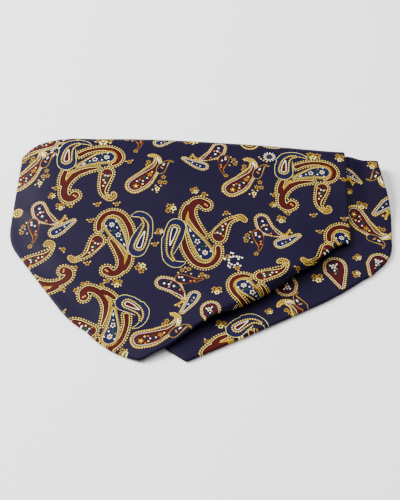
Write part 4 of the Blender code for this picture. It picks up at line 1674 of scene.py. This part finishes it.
# %% The rounded form of the folded lengths
def folded_core(name):
    outline = rounded(CORE_EDGE, True, CORE_EDGE_STEP)
    outline[:, 1] = np.minimum(outline[:, 1], crest_along(outline[:, 0]))
    filler = filling(outline, CORE_STEP, CORE_STEP, CORE_CLEAR)
    flat, triangles, _ = printed_mesh(outline, filler, [])
    rim = len(outline)
    count = len(flat)
    loop, _ = rim_of(triangles)
    outline = flat[loop]
    out = outward_of(outline)
    top = core_top(flat[:, 0], flat[:, 1]) - GAP
    rim_top = top[loop]
    at_fold = ease((out[:, 1] - NOSE_NORMALS[0]) / (NOSE_NORMALS[1] - NOSE_NORMALS[0]))
    rings = folded_rings(outline, out, rim_top, at_fold)
    lid = flat.copy()
    lid_in = np.minimum(LAYERS[-1][1], SET_IN_MOST * rim_top) * (1 - at_fold)
    lid[loop] = outline - out * lid_in[:, None]
    base = np.column_stack([flat, np.zeros(count)])
    base[loop, :2] = rings[0][:, :2]
    points = np.vstack([np.column_stack([lid, top]), base] + rings)
    starts = [2 * count + k * rim for k in range(len(rings))]
    ring_at = [[count + i for i in loop]]
    ring_at += [list(range(start, start + rim)) for start in starts]
    ring_at.append(list(loop))
    back = triangles[:, ::-1]
    faces = triangles.tolist() + (count + back).tolist() + band_faces(ring_at[::-1])
    flats = points[:, :2] + np.column_stack([np.zeros(len(points)), points[:, 2]])
    baked = np.vstack(
        [
            on_patch(flat, CORE_PATCH)[triangles].reshape(-1, 2),
            on_patch(flat, CORE_BASE_PATCH)[back].reshape(-1, 2),
            on_strip(len(ring_at), rim),
        ]
    )
    return cloth_object(name, points - CENTRE, faces, ["navy_ground"] * len(faces), flats, baked)


core = folded_core("folded_lengths")
print("the packet at its thickest:", round(2 * float(fold_radius(-45.0)), 1), "mm")


# %% [markdown]
# A plain pale floor and soft light finish the scene. Dark silk is lit from the side: the window is
# low on the left, so the flat cloth mirrors it past the camera, the creases are modelled by it,
# and the step below the curled hem lies in its own shade. A broad ceiling light and the pale
# world fill the shadows. Each light turns to the middle of the cloth.

# %% Floor and lights
FLOOR = 3.0  # m, from the middle to each side
FLOOR_DROP = -0.0002  # just below the cloth, so that the two never share a face
WHITE_PAPER = "f4f4f4"
PAPER_ROUGHNESS = 0.9
WORLD_STRENGTH = 0.42
# name, place, width in metres, watts
LIGHTS = (
    ("window", (-1.0, 0.3, 0.8), 0.7, 58.0),
    ("ceiling", (0.1, 0.3, 1.6), 1.4, 22.0),
)

floor_mesh = bpy.data.meshes.new("floor")
floor_corners = [
    (FLOOR * x, FLOOR * y, FLOOR_DROP) for x, y in ((-1, -1), (1, -1), (1, 1), (-1, 1))
]
floor_mesh.from_pydata(floor_corners, [], [(0, 1, 2, 3)])
floor = bpy.data.objects.new("floor", floor_mesh)
bpy.context.scene.collection.objects.link(floor)
# Matt uncoated paper: it takes soft shadows and gives no reflection of its own
floor_material = bpy.data.materials.new("matt_white_paper")
floor_material.use_nodes = True
floor_shader = floor_material.node_tree.nodes["Principled BSDF"]
floor_shader.inputs["Base Color"].default_value = (*linear(WHITE_PAPER), 1.0)
floor_shader.inputs["Roughness"].default_value = PAPER_ROUGHNESS
floor_mesh.materials.append(floor_material)

for name, place, width, watts in LIGHTS:
    light_data = bpy.data.lights.new(name, "AREA")
    light_data.size = width
    light_data.energy = watts
    light = bpy.data.objects.new(name, light_data)
    bpy.context.scene.collection.objects.link(light)
    light.location = place
    light.rotation_euler = (-Vector(place)).to_track_quat("-Z", "Y").to_euler()
    print(name, "light,", watts, "W,", round(Vector(place).length, 2), "m away")

world = bpy.data.worlds.new("studio")
world.use_nodes = True
world.node_tree.nodes["Background"].inputs["Color"].default_value = (1.0, 1.0, 1.0, 1.0)
world.node_tree.nodes["Background"].inputs["Strength"].default_value = WORLD_STRENGTH
bpy.context.scene.world = world


# %% [markdown]
# Last, every piece is attached to the body that it moves with, and the CAD solid that it stands
# for is hidden from view.


def declare_blade(piece, node):
    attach(piece, "root")
    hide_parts(node)


declare_blade(blade_front, "blade_front")
declare_blade(blade_under, "blade_under")
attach(core, "root")
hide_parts("hidden_folds")
